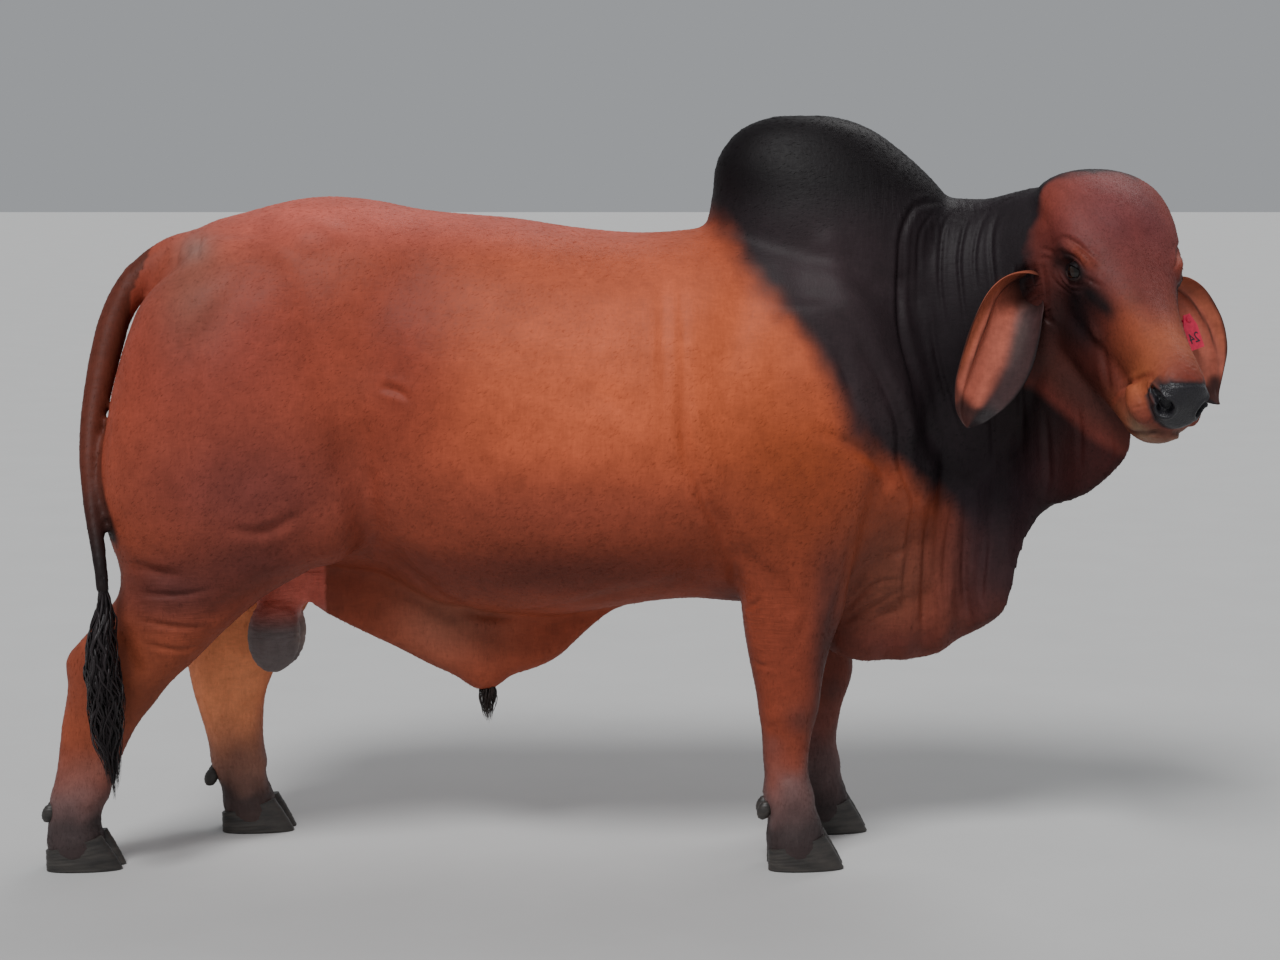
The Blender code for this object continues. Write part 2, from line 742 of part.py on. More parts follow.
def skull_forms():
    """The head's masses in its own frame: skull, jaw, brows, cheeks, muzzle and lips."""
    made = [
        loft("skull", [girth_ring(*row, 2.1, 32) for row in smooth_rows(SKULL, 34)]),
        loft("jaw", [girth_ring(*row, 2.3, 28) for row in smooth_rows(JAW, 26)]),
        ellipsoid((-0.122, 0, 0.034), (0.140, 0.112, 0.076)),
        ellipsoid((0.330, 0, -0.045), (0.064, 0.054, 0.062)),
        ellipsoid((0.335, 0, -0.118), (0.045, 0.046, 0.038)),
    ]
    made += both_sides((0.003, 0.084, 0.020), (0.046, 0.030, 0.028), (0, 0, 8))
    made += both_sides((0.012, 0.087, -0.030), (0.050, 0.024, 0.022))
    made += both_sides((0.052, 0.058, -0.052), (0.096, 0.026, 0.026), (0, 12, -9))
    made += both_sides((-0.080, 0.086, -0.130), (0.090, 0.031, 0.085))
    made += both_sides((0.350, 0.032, -0.034), (0.034, 0.026, 0.034), (0, 0, -20))
    made += both_sides((0.318, 0.046, -0.082), (0.056, 0.030, 0.031), (0, 8, 0))
    made += both_sides((-0.125, 0.098, -0.020), (0.074, 0.044, 0.070))
    return made


def shape_body(points, normals):
    """Presses and raises the hide over the trunk, the neck and the limbs."""
    strokes = (
        (((-0.50, 1.36), (-0.58, 1.27), (-0.60, 1.18)), 0.085, -0.014),
        (((-0.50, 0.66), (-0.60, 0.74), (-0.63, 0.86), (-0.62, 1.00)), 0.045, -0.016),
        (((-0.86, 1.36), (-0.98, 1.20), (-1.02, 1.00), (-1.00, 0.84)), 0.035, -0.008),
        (((0.14, 0.68), (0.19, 0.80), (0.21, 0.95), (0.18, 1.15), (0.24, 1.35)), 0.050, -0.012),
        (((0.42, 1.42), (0.52, 1.20), (0.60, 1.02)), 0.035, 0.008),
        (((0.62, 1.30), (0.68, 1.10), (0.66, 0.90), (0.56, 0.76)), 0.045, -0.016),
        (((0.22, 0.74), (0.30, 0.68), (0.34, 0.62)), 0.022, -0.007),
        (((-0.72, 0.70), (-0.84, 0.67), (-0.95, 0.60)), 0.022, -0.008),
        (((-1.24, 0.62), (-1.16, 0.54), (-1.14, 0.48)), 0.022, -0.010),
        (((0.30, 0.33), (0.33, 0.22)), 0.014, -0.005),
    )
    for path, width, depth in strokes:
        side_stroke(points, normals, path, width, depth)
    for x, low, depth in NECK_FOLDS:
        path = ((x + 0.05, 1.47), (x + 0.01, 1.30), (x - 0.03, 1.12), (x - 0.05, low))
        side_stroke(points, normals, path, 0.013, depth)


def shape_head(points, normals, local):
    """Lids, cheek and lip creases, pressed and raised in the head's frame."""
    strokes = (
        (lid_outline(1.25), 0.0055, 0.0035),
        (lid_outline(2.10)[1:6], 0.006, -0.004),
        (((0.20, -0.085), (0.225, -0.112), (0.220, -0.135)), 0.007, -0.004),
        (((0.355, -0.012), (0.330, -0.020), (0.322, -0.045)), 0.006, -0.003),
    )
    for path, width, depth in strokes:
        near = np.exp(-((path_distance(local[:, [0, 2]], path) / width) ** 2))
        points += normals * (depth * near * (abs(local[:, 1]) > 0.035))[:, None]


def lid_outline(spread=1.0, count=12):
    """The almond between the lids, in x and z of the head's frame, from its front corner round."""
    turn = np.linspace(0, 2 * math.pi, count, endpoint=False)
    x = LID_HALF[0] * np.cos(turn) * spread
    z = LID_HALF[1] * np.sin(turn) * (1 - 0.25 * np.cos(turn) ** 2) * spread
    tilt = math.radians(LID_TILT)
    across = EYE_PLACE[0] + x * math.cos(tilt) - z * math.sin(tilt)
    return np.stack([across, EYE_PLACE[2] + x * math.sin(tilt) + z * math.cos(tilt)], axis=1)


def flesh():
    """The whole animal but hooves, eyes, ears and tail, fused, shaped and thinned."""
    head_parts = join(skull_forms())
    head_parts.data.transform(head_matrix())
    parts = [trunk(), hump(), neck(), dewlap(), sheath(), head_parts, *muscles()]
    for side in (RIGHT, LEFT):
        parts.append(leg(HIND, HIND_STEP, side, 46))
        parts.append(leg(FORE, FORE_STEP, side, 42))
    whole = join(parts)
    remesh(whole, VOXEL)
    points, _ = vertex_arrays(whole.data)
    head, _ = in_head(points)
    broad = ~head & (points[:, 2] > 0.62) & (points[:, 0] < 0.80)
    relax(whole, 45, broad)
    relax(whole, 8)
    mesh = whole.data
    points, normals = vertex_arrays(mesh)
    shape_body(points, normals)
    head, local = in_head(points)
    lifted = points[head]
    shape_head(lifted, normals[head], local[head])
    points[head] = lifted
    mesh.vertices.foreach_set("co", points.astype(np.float32).ravel())
    mesh.update()
    whole.name = "flesh"
    keep_largest(whole)
    thin(whole)
    return whole


def thin(thing):
    """Fewer triangles, with the head kept finer than the body."""
    apply_modifier(thing, thing.modifiers.new("triangles", "TRIANGULATE"))
    for part, triangles in (("body", BODY_TRIANGLES), ("head", HEAD_TRIANGLES)):
        points, _ = vertex_arrays(thing.data)
        head, _ = in_head(points)
        chosen = head if part == "head" else ~head
        corners = np.empty(len(thing.data.polygons) * 3, np.int32)
        thing.data.polygons.foreach_get("vertices", corners)
        loose = int(chosen[corners.reshape(-1, 3)].any(axis=1).sum())
        total = len(thing.data.polygons)
        group = thing.vertex_groups.new(name=part)
        group.add(np.nonzero(chosen)[0].tolist(), 1.0, "REPLACE")
        modifier = thing.modifiers.new("thin", "DECIMATE")
        modifier.ratio = (total - loose + triangles) / total
        modifier.vertex_group = group.name
        modifier.vertex_group_factor = 1.0
        modifier.use_collapse_triangulate = True
        apply_modifier(thing, modifier)
        thing.vertex_groups.clear()


def divide(body):
    """Parts the flesh by thin cuts, nearest the outside first."""
    nodes = {}

    def part(name, outline, y_low, y_high, frame=None):
        nodes[name] = carve(body, name, outline, y_low, y_high, frame)

    head_side = (
        (-0.235, 0.30), (-0.175, -0.24), (-0.10, -0.262), (0.05, -0.232), (0.22, -0.190),
        (0.50, -0.30), (0.50, 0.30),
    )
    part("head", head_side, -0.30, 0.30, head_matrix())
    part("hump", ((0.05, 1.485), (0.725, 1.532), (0.725, 1.90), (0.05, 1.90)), -0.30, 0.30)
    for side, name in SIDES:
        low, high = sorted((side * 0.075, side * 0.45))
        fore_side = ((0.10, -0.1), (0.60, -0.1), (0.60, 0.615), (0.10, 0.590))
        part("foreleg_" + name, fore_side, low, high)
        shift = step_at(HIND_STEP, 0.66) if side == LEFT else 0.0
        hind_side = ((-1.60, -0.1), (-0.55, -0.1), (-0.70 + shift, 0.700), (-1.60, 0.640))
        part("hindleg_" + name, hind_side, low, high)
    sheath_side = ((-0.90, 0.20), (0.10, 0.20), (0.10, 0.592), (-0.30, 0.560), (-0.90, 0.655))
    part("sheath", sheath_side, -0.073, 0.073)
    dewlap_outline = (
        (0.30, 0.20), (1.40, 0.20), (1.40, 1.20), (1.05, 1.13), (0.86, 0.98), (0.70, 0.74),
        (0.36, 0.60),
    )
    part("dewlap", dewlap_outline, -0.60, 0.30)
    part("neck", ((0.55, 0.40), (1.50, 0.40), (1.50, 1.90), (0.72, 1.90)), -0.60, 0.45)
    part("rump", ((-1.60, 0.30), (-0.56, 0.30), (-0.56, 1.80), (-1.60, 1.80)), -0.60, 0.60)
    part("chest", ((0.16, 0.30), (1.20, 0.30), (1.20, 1.80), (0.16, 1.80)), -0.60, 0.60)
    body.name = "barrel"
    nodes["barrel"] = body
    return nodes


def foot_box(rows, steps, side):
    """Back, front, inner and outer reach of a leg's foot on the ground."""
    _, back, front, inner, outer = rows[-1]
    shift = step_at(steps, 0.0) if side == LEFT else 0.0
    return back + shift, front + shift, inner, outer


def coronet_height(x, back, front):
    heel, toe = CORONET
    return heel + (toe - heel) * (x - back) / (front - back)


def hooves(nodes, leg_name, rows, steps, side):
    """Two claws under a leg, with flat soles, and the two small dewclaws behind its fetlock."""
    back, front, inner, outer = foot_box(rows, steps, side)
    behind, ahead = back - FOOT_REACH, front + FOOT_REACH
    foot_side = (
        (behind, -FOOT_REACH),
        (ahead, -FOOT_REACH),
        (ahead, coronet_height(ahead, back, front)),
        (behind, coronet_height(behind, back, front)),
    )
    cutter = prism(foot_side, *sorted((side * 0.02, side * 0.45)))
    boolean(nodes[leg_name], cutter, "DIFFERENCE")
    limb = leg_name.replace("leg", "")
    width = outer - inner
    for claw, word in ((-1, "inner"), (1, "outer")):
        rings = []
        for index in range(CLAW_RINGS + 1):
            part = index / CLAW_RINGS
            toe = front + TOE_REACH * (1 - part) + 0.003
            across, along = round_factors(12, 2.5)
            x = (back + toe) / 2 + (toe - back) / 2 * along
            forward = np.clip((x - back) / (toe - back), 0, 1)
            half = (width - CLEFT) / 4 * (1.04 - 0.05 * part)
            middle = (inner + outer) / 2 + claw * (width + CLEFT) / 4
            middle = middle - claw * TOE_TURN * forward**2 * (1 - part)
            y = side * (middle + half * across * (1 - 0.22 * forward**3))
            top = coronet_height(x, back, front) - GAP
            rings.append(np.stack([x, y, top * part], axis=1))
        nodes[f"hoof_{limb}_{word}"] = loft(f"hoof_{limb}_{word}", rings)
        fetlock = min(rows, key=lambda row: abs(row[0] - FETLOCK_HEIGHT))
        shift = step_at(steps, fetlock[0]) if side == LEFT else 0.0
        place = (
            fetlock[1] + shift + 0.004,
            side * ((fetlock[3] + fetlock[4]) / 2 + claw * 0.027),
            fetlock[0] - 0.028,
        )
        nub = ellipsoid(place, DEWCLAW, (0, 22, 0), 1)
        nub.name = f"dewclaw_{limb}_{word}"
        nodes[nub.name] = boolean(nub, grown(nodes[leg_name]), "DIFFERENCE")


def eyes(nodes):
    """An eyeball on each side, in a socket that opens between the lids."""
    for side, name in SIDES:
        x, y, z = EYE_PLACE
        place = head_matrix() @ Vector((x, side * y, z))
        bpy.ops.mesh.primitive_uv_sphere_add(
            segments=14, ring_count=8, radius=EYE_RADIUS, location=place
        )
        eye = bpy.context.active_object
        eye.name = "eye_" + name
        eye.data.transform(Matrix.Translation(place))
        eye.location = (0, 0, 0)
        nodes[eye.name] = eye
        low, high = sorted((side * y, side * (y + 0.06)))
        outline = [tuple(point) for point in lid_outline()]
        boolean(nodes["head"], grown(eye), "DIFFERENCE")
        opening = prism(outline, low, high, 0.0, head_matrix())
        boolean(nodes["head"], opening, "DIFFERENCE", solver="MANIFOLD")


def nose(nodes):
    """The bare nose pad, the nostrils and the line of the mouth."""
    frame = head_matrix() @ Matrix.Rotation(math.radians(-90.0), 4, "Z")
    outline = (
        (-0.024, -0.080), (0.024, -0.080), (0.046, -0.052), (0.053, -0.020), (0.038, 0.005),
        (0.0, 0.012), (-0.038, 0.005), (-0.053, -0.020), (-0.046, -0.052),
    )
    nodes["nose_pad"] = carve(nodes["head"], "nose_pad", outline, 0.335, 0.46, frame)
    for side in (RIGHT, LEFT):
        for place, radii in (
            ((0.380, side * 0.037, -0.036), (0.024, 0.013, 0.019)),
            ((0.362, side * 0.051, -0.029), (0.026, 0.009, 0.012)),
        ):
            for name in ("nose_pad", "head"):
                nostril = ellipsoid(place, radii, (0, 0, side * 22), 2)
                nostril.data.transform(head_matrix())
                boolean(nodes[name], nostril, "DIFFERENCE")
    rings = []
    for x, y, z in smooth_rows(MOUTH_LINE, 15):
        out = Vector((x - 0.25, y * 1.6, 0)).normalized()
        for_ring = []
        for reach, half in ((-0.011, 0.0005), (0.020, 0.0050)):
            for height in (-half, half):
                for_ring.append((x + out.x * reach, y + out.y * reach, z + height))
        low_in, high_in, low_out, high_out = for_ring
        rings.append(np.array([low_in, low_out, high_out, high_in]))
    groove = loft("mouth", rings)
    groove.data.transform(head_matrix())
    boolean(nodes["head"], groove, "DIFFERENCE")


def ear_path(side, count):
    """Points along an ear. Its root tips with the head, and the rest hangs straight down."""
    axis = smooth_rows(EAR_AXIS, count) * np.array([1, side, 1])
    axis[:, 2] += math.sin(HEAD_ROLL) * axis[:, 1] * np.linspace(*EAR_ROLL, count)
    axis[:, 1] -= side * EAR_TUCK[side] * np.sin(np.linspace(0, math.pi, count))
    return axis


def ear(side, name):
    """One hanging ear: a leaf that is curled into a tube at its root and opens forward."""
    level = level_head_matrix()
    count = 13
    arc = 8
    axis = ear_path(side, count)
    along = np.gradient(axis, axis=0)
    run = np.concatenate([[0], np.cumsum(np.linalg.norm(np.diff(axis, axis=0), axis=1))])
    leaf = np.array(EAR_LEAF)
    points = []
    for index, (place, direction) in enumerate(zip(axis, along)):
        part = run[index] / run[-1]
        width, curl, thick = (np.interp(part, leaf[:, 0], leaf[:, column]) for column in (1, 2, 3))
        curl = math.radians(curl)
        radius = width / (2 * math.sin(min(curl, math.pi / 2)))
        tangent = Vector(direction).normalized()
        opens = Vector((EAR_OPENS[0], side * EAR_OPENS[1], EAR_OPENS[2]))
        opens = (opens - tangent * opens.dot(tangent)).normalized()
        wide = tangent.cross(opens)
        turn = np.linspace(-curl, curl, arc)
        half = thick / 2 * (1 - 0.45 * (turn / curl) ** 2)
        for sign in (1, -1):
            ring_radius = radius + sign * half
            ring = (
                np.outer(ring_radius * np.sin(turn), wide)
                - np.outer(ring_radius * np.cos(turn) - radius * 0.6, opens)
                + place
            )
            points.extend(ring if sign == 1 else ring[::-1])
    faces = []
    loop = 2 * arc
    for row in range(count - 1):
        for step in range(loop):
            after = (step + 1) % loop
            low, high = row * loop, (row + 1) * loop
            faces.append((low + step, low + after, high + after, high + step))
    for start in (0, (count - 1) * loop):
        for step in range(arc - 1):
            far_side = start + loop - 1 - step
            faces.append((start + step, start + step + 1, far_side - 1, far_side))
    thing = mesh_object("ear_" + name, points, faces)
    thing.data.transform(level)
    return thing


def ear_tag(nodes):
    """The tag on the left ear: a plate that hangs in the cup on a stud through the ear."""
    axis = ear_path(LEFT, 33)
    at = int(TAG_AT * 32)
    tangent = Vector(axis[at + 1] - axis[at - 1]).normalized()
    tangent = (tangent - Vector((0.0, 0.0, TAG_DROP))).normalized()
    opens = Vector(EAR_OPENS)
    opens = (opens - tangent * opens.dot(tangent)).normalized()
    wide = opens.cross(tangent)
    frame = Matrix((wide, opens, tangent)).transposed().to_4x4()
    frame.translation = Vector(axis[at]) + wide * TAG_ASIDE
    frame = level_head_matrix() @ frame
    width, height, thick = TAG_SIZE
    front = TAG_FRONT
    half = width / 2
    neck_half = half * 0.45
    outline = (
        (-neck_half, -0.012),
        (neck_half, -0.012),
        (half, 0.018),
        (half, height),
        (-half, height),
        (-half, 0.018),
    )
    tag = prism(outline, front, front + thick, 0.0, frame)
    tag.name = "ear_tag"
    rings = []
    for y, radius in (
        (STUD_BACK, STUD_HEAD),
        (STUD_BACK + 0.0030, STUD_HEAD),
        (STUD_BACK + 0.0035, STUD_PIN),
        (front - 0.0025, STUD_PIN),
        (front + thick + 0.0005, STUD_PIN),
        (front + thick + 0.0010, STUD_HEAD * 0.8),
        (front + thick + 0.0035, STUD_HEAD * 0.6),
    ):
        turn = np.linspace(0, 2 * math.pi, 10, endpoint=False)
        rings.append(np.stack([radius * np.cos(turn), np.full(10, y), radius * np.sin(turn)], axis=1))
    stud = loft("ear_tag_stud", rings)
    stud.data.transform(frame)
    nodes["ear_tag_stud"] = stud
    nodes["ear_tag"] = boolean(tag, grown(stud), "DIFFERENCE")
    boolean(nodes["ear_left"], grown(stud), "DIFFERENCE")


def lock(path, outs, width, thick):
    """One flat lock that tapers to its tip, with its broad faces turned out."""
    along = np.gradient(path, axis=0)
    rings = []
    for index, (place, direction, out) in enumerate(zip(path, along, outs)):
        part = index / (len(path) - 1)
        size = 0.75 + 0.75 * part if part < 0.34 else (1 - part) ** 0.7 * 1.33 + 0.05
        forward = Vector(direction).normalized()
        wide = forward.cross(Vector(out)).normalized()
        face = wide.cross(forward).normalized()
        across = np.array(wide) * width * size / 2
        deep = np.array(face) * thick * size / 2
        rings.append(np.array([place - across, place - deep, place + across, place + deep]))
    return loft("lock", rings)


def hair(name, stations, tiers, lock_form, seed):
    """A core that ends half way down, with tiers of wavy locks rooted in it and fused to it."""
    draw = np.random.default_rng(seed)
    rows = smooth_rows(stations, 40)
    top, bottom = rows[0, 2], rows[-1, 2]
    core_end = bottom + CORE_PART * (top - bottom)
    core_rows = rows[rows[:, 2] > core_end]
    core_rows = core_rows[:: max(1, len(core_rows) // 7)].copy()
    core_rows[1:, 3:] *= CORE_THINNER
    core = loft(name, tube_rings(core_rows, count=10, up=Vector((0, 1, 0))))
    width, thick, wave = lock_form
    group = bpy.data.collections.new(name + "_locks")
    bpy.context.scene.collection.children.link(group)
    for tier, (root, count, tip) in enumerate(tiers):
        for index in range(count):
            angle = 2 * math.pi * (index + 0.5 * (tier % 2) + draw.uniform(-0.15, 0.15)) / count
            end = tip + draw.uniform(-0.10, 0.10) * (root - tip)
            height = np.linspace(root, end, LOCK_STEPS)
            phase = draw.uniform(0, 2 * math.pi)
            bend = wave * np.sin(phase + LOCK_WAVES * (root - height)) * np.linspace(0, 1, LOCK_STEPS)
            reach = np.array(LOCK_REACH) * draw.uniform(0.94, 1.04)
            shape = [np.interp(-height, -rows[:, 2], rows[:, column]) for column in (0, 1, 3, 4)]
            out_x, out_y = np.cos(angle + bend), np.sin(angle + bend)
            path = np.stack([
                shape[0] + out_x * reach * (shape[3] - thick / 3),
                shape[1] + out_y * reach * (shape[2] - thick / 3),
                height,
            ], axis=1)
            outs = np.stack([out_x, out_y, np.zeros(LOCK_STEPS)], axis=1)
            made = lock(path, outs, width * draw.uniform(0.85, 1.15), thick)
            group.objects.link(made)
            bpy.context.scene.collection.objects.unlink(made)
    modifier = core.modifiers.new("fuse", "BOOLEAN")
    modifier.operation = "UNION"
    modifier.operand_type = "COLLECTION"
    modifier.collection = group
    modifier.solver = "EXACT"
    apply_modifier(core, modifier)
    for made in list(group.objects):
        bpy.data.objects.remove(made)
    bpy.data.collections.remove(group)
    return keep_largest(core)


def tail(nodes):
    """The tail in two lengths, and the long hair at its end."""
    rings = tube_rings(smooth_rows(TAIL, 24), count=11, up=Vector((0, 1, 0)))
    split = 10
    base = loft("tail_base", rings[: split + 1])
    nodes["tail_base"] = boolean(base, grown(nodes["rump"]), "DIFFERENCE")
    run = rings[split + 1].mean(axis=0) - rings[split].mean(axis=0)
    lower = [ring.copy() for ring in rings[split:]]
    lower[0] += run / np.linalg.norm(run) * GAP
    shaft = loft("tail_shaft", lower)
    nodes["tail_shaft"] = boolean(shaft, grown(nodes["rump"]), "DIFFERENCE")
    x, y, z, radius = TAIL[-1]
    stations = ((x, y, z - GAP, radius, radius), *SWITCH)
    switch = hair("tail_switch", stations, SWITCH_TIERS, SWITCH_LOCK, 12)
    nodes["tail_switch"] = boolean(switch, grown(nodes["tail_shaft"]), "DIFFERENCE")


def scrotum(nodes):
    parts = [
        ellipsoid((-0.846, 0.036, 0.510), (0.066, 0.050, 0.094), (0, 4, 0)),
        ellipsoid((-0.850, -0.036, 0.515), (0.066, 0.050, 0.094), (0, 4, 0)),
        ellipsoid((-0.838, 0, 0.630), (0.066, 0.056, 0.110)),
        ellipsoid((-0.826, 0, 0.700), (0.080, 0.066, 0.060)),
    ]
    bag = join(parts)
    remesh(bag, 0.006)
    relax(bag, 12)
    modifier = bag.modifiers.new("thin", "DECIMATE")
    modifier.ratio = 300 / (2 * len(bag.data.polygons))
    modifier.use_collapse_triangulate = True
    apply_modifier(bag, modifier)
    bag.name = "scrotum"
    for name in ("rump", "sheath"):
        boolean(bag, grown(nodes[name]), "DIFFERENCE")
    nodes["scrotum"] = bag


def sheath_tuft(nodes):
    tuft = hair("sheath_tuft", TUFT, TUFT_TIERS, TUFT_LOCK, 9)
    nodes["sheath_tuft"] = boolean(tuft, grown(nodes["sheath"]), "DIFFERENCE")


def material_name(node):
    for start, name in (
        ("hoof", "horn"), ("dewclaw", "horn"), ("eye", "wet"), ("nose", "nose"), ("ear_tag", "tag"),
        ("hump", "dark_coat"), ("neck", "dark_coat"), ("tail_switch", "dark_coat"),
        ("sheath_tuft", "dark_coat"), ("scrotum", "skin"),
    ):
        if node.startswith(start):
            return name
    return "coat"


def finish(nodes):
    """Moves every node into the part's frame, and gives it its material and shading."""
    for name, thing in nodes.items():
        thing.name = name
        thing.data.name = name
        thing.data.transform(Matrix.Translation(FRAME_SHIFT))
        thing.data.materials.clear()
        thing.data.materials.append(material(material_name(name)))
        thing.data.shade_smooth()
        thing.data.set_sharp_from_angle(angle=math.radians(40.0))


def main():
    clear_scene()
    nodes = divide(flesh())
    for rows, steps, limb in ((FORE, FORE_STEP, "foreleg_"), (HIND, HIND_STEP, "hindleg_")):
        for side, name in SIDES:
            hooves(nodes, limb + name, rows, steps, side)
    nose(nodes)
    eyes(nodes)
    for side, name in SIDES:
        nodes["ear_" + name] = boolean(ear(side, name), grown(nodes["head"]), "DIFFERENCE")
    ear_tag(nodes)
    tail(nodes)
    scrotum(nodes)
    sheath_tuft(nodes)
    finish(nodes)


main()
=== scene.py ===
"""The dressed look of a standing Brahman bull: one skin with its coat, and its eyes, nose, hooves,
ears, hair and tag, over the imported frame.

Units are metres. The forms repeat the part's own sections, then get folds, wrinkles and hair.
"""

import json
import math

import bmesh
import bpy
import numpy as np
from mathutils import Matrix, Vector

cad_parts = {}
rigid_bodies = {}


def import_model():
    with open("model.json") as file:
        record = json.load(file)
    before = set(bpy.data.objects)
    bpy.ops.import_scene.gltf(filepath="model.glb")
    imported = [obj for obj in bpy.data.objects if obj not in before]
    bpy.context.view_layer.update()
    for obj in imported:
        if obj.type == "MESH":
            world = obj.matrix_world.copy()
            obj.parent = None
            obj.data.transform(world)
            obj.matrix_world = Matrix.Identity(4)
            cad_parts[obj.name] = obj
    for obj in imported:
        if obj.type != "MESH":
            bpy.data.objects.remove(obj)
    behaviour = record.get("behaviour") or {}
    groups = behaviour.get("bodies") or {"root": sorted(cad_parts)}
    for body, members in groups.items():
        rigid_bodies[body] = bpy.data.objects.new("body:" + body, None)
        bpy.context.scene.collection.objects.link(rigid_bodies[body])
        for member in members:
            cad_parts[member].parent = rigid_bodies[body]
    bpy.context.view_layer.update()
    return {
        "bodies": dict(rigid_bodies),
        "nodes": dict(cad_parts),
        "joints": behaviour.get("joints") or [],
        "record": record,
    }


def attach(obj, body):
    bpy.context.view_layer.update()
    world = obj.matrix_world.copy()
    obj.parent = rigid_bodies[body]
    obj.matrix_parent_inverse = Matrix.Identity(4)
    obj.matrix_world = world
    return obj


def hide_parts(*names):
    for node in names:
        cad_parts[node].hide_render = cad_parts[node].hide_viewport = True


RIGHT = -1
LEFT = 1
# The whole part is moved by this much at the end, so that its box stands centred on the origin
FRAME_SHIFT = Vector((0.008, 0.112, 0.0))
# Trunk sections: x, top, bottom, half width, height of the widest place
TRUNK = (
    (-1.12, 1.330, 0.860, 0.090, 1.12),
    (-1.08, 1.400, 0.800, 0.150, 1.12),
    (-1.00, 1.465, 0.740, 0.205, 1.14),
    (-0.90, 1.495, 0.700, 0.245, 1.14),
    (-0.80, 1.520, 0.680, 0.282, 1.14),
    (-0.71, 1.530, 0.675, 0.298, 1.12),
    (-0.60, 1.520, 0.660, 0.310, 1.08),
    (-0.50, 1.500, 0.600, 0.326, 1.04),
    (-0.40, 1.490, 0.575, 0.342, 1.00),
    (-0.28, 1.480, 0.560, 0.357, 0.98),
    (-0.15, 1.460, 0.565, 0.365, 0.97),
    (0.00, 1.447, 0.590, 0.370, 0.97),
    (0.12, 1.455, 0.600, 0.355, 0.98),
    (0.25, 1.470, 0.590, 0.325, 1.00),
    (0.38, 1.480, 0.600, 0.295, 1.02),
    (0.50, 1.480, 0.630, 0.255, 1.04),
    (0.60, 1.460, 0.680, 0.210, 1.05),
    (0.68, 1.420, 0.760, 0.150, 1.08),
)
# Hind quarter levels: z, back, front, inner and outer distance from the middle plane
HIND = (
    (1.44, -0.98, -0.72, 0.000, 0.180),
    (1.38, -1.03, -0.66, 0.000, 0.245),
    (1.30, -1.118, -0.62, 0.000, 0.290),
    (1.15, -1.172, -0.58, 0.005, 0.325),
    (1.00, -1.202, -0.58, 0.020, 0.345),
    (0.88, -1.215, -0.61, 0.045, 0.340),
    (0.78, -1.200, -0.66, 0.070, 0.318),
    (0.70, -1.175, -0.73, 0.095, 0.290),
    (0.63, -1.184, -0.848, 0.110, 0.270),
    (0.55, -1.252, -0.942, 0.120, 0.258),
    (0.49, -1.303, -1.002, 0.125, 0.250),
    (0.43, -1.302, -1.067, 0.122, 0.242),
    (0.38, -1.310, -1.106, 0.122, 0.230),
    (0.33, -1.321, -1.146, 0.125, 0.222),
    (0.25, -1.331, -1.187, 0.125, 0.218),
    (0.20, -1.340, -1.205, 0.118, 0.228),
    (0.16, -1.352, -1.215, 0.112, 0.236),
    (0.11, -1.350, -1.246, 0.120, 0.226),
    (0.065, -1.354, -1.238, 0.112, 0.234),
    (0.020, -1.356, -1.232, 0.110, 0.236),
)
# How far forward the left hind leg stands of the right one, by height
HIND_STEP = ((0.0, 0.35), (0.10, 0.34), (0.25, 0.280), (0.45, 0.195), (0.65, 0.10), (0.92, 0.0))
# Foreleg levels, in the same form
FORE = (
    (1.30, 0.18, 0.52, 0.080, 0.265),
    (1.10, 0.17, 0.56, 0.070, 0.315),
    (0.95, 0.18, 0.55, 0.070, 0.322),
    (0.85, 0.20, 0.52, 0.070, 0.315),
    (0.75, 0.215, 0.495, 0.075, 0.295),
    (0.68, 0.220, 0.480, 0.080, 0.278),
    (0.60, 0.228, 0.464, 0.085, 0.262),
    (0.51, 0.242, 0.433, 0.092, 0.245),
    (0.44, 0.256, 0.418, 0.098, 0.235),
    (0.395, 0.265, 0.413, 0.100, 0.232),
    (0.36, 0.269, 0.408, 0.100, 0.230),
    (0.31, 0.277, 0.394, 0.112, 0.218),
    (0.25, 0.280, 0.387, 0.116, 0.214),
    (0.21, 0.284, 0.388, 0.110, 0.222),
    (0.165, 0.280, 0.402, 0.102, 0.230),
    (0.115, 0.297, 0.404, 0.110, 0.222),
    (0.070, 0.294, 0.413, 0.102, 0.230),
    (0.020, 0.293, 0.420, 0.100, 0.232),
)
FORE_STEP = ((0.0, 0.08), (0.12, 0.08), (0.40, 0.10), (0.60, 0.06), (0.92, 0.0))
# Hump levels: z, back, front, half width
HUMP = (
    (1.360, 0.140, 0.740, 0.190),
    (1.470, 0.152, 0.728, 0.178),
    (1.535, 0.165, 0.696, 0.160),
    (1.575, 0.168, 0.660, 0.146),
    (1.610, 0.175, 0.622, 0.130),
    (1.645, 0.195, 0.580, 0.110),
    (1.674, 0.220, 0.540, 0.090),
    (1.697, 0.262, 0.488, 0.066),
    (1.710, 0.310, 0.435, 0.038),
)
# Neck stations along its bend: x, y, z, half height, half width
NECK = (
    (0.40, 0.000, 1.120, 0.350, 0.200),
    (0.52, 0.000, 1.135, 0.365, 0.200),
    (0.66, -0.005, 1.180, 0.355, 0.185),
    (0.78, -0.030, 1.230, 0.318, 0.165),
    (0.88, -0.075, 1.280, 0.272, 0.152),
    (0.96, -0.130, 1.335, 0.235, 0.142),
    (1.02, -0.190, 1.365, 0.195, 0.130),
)
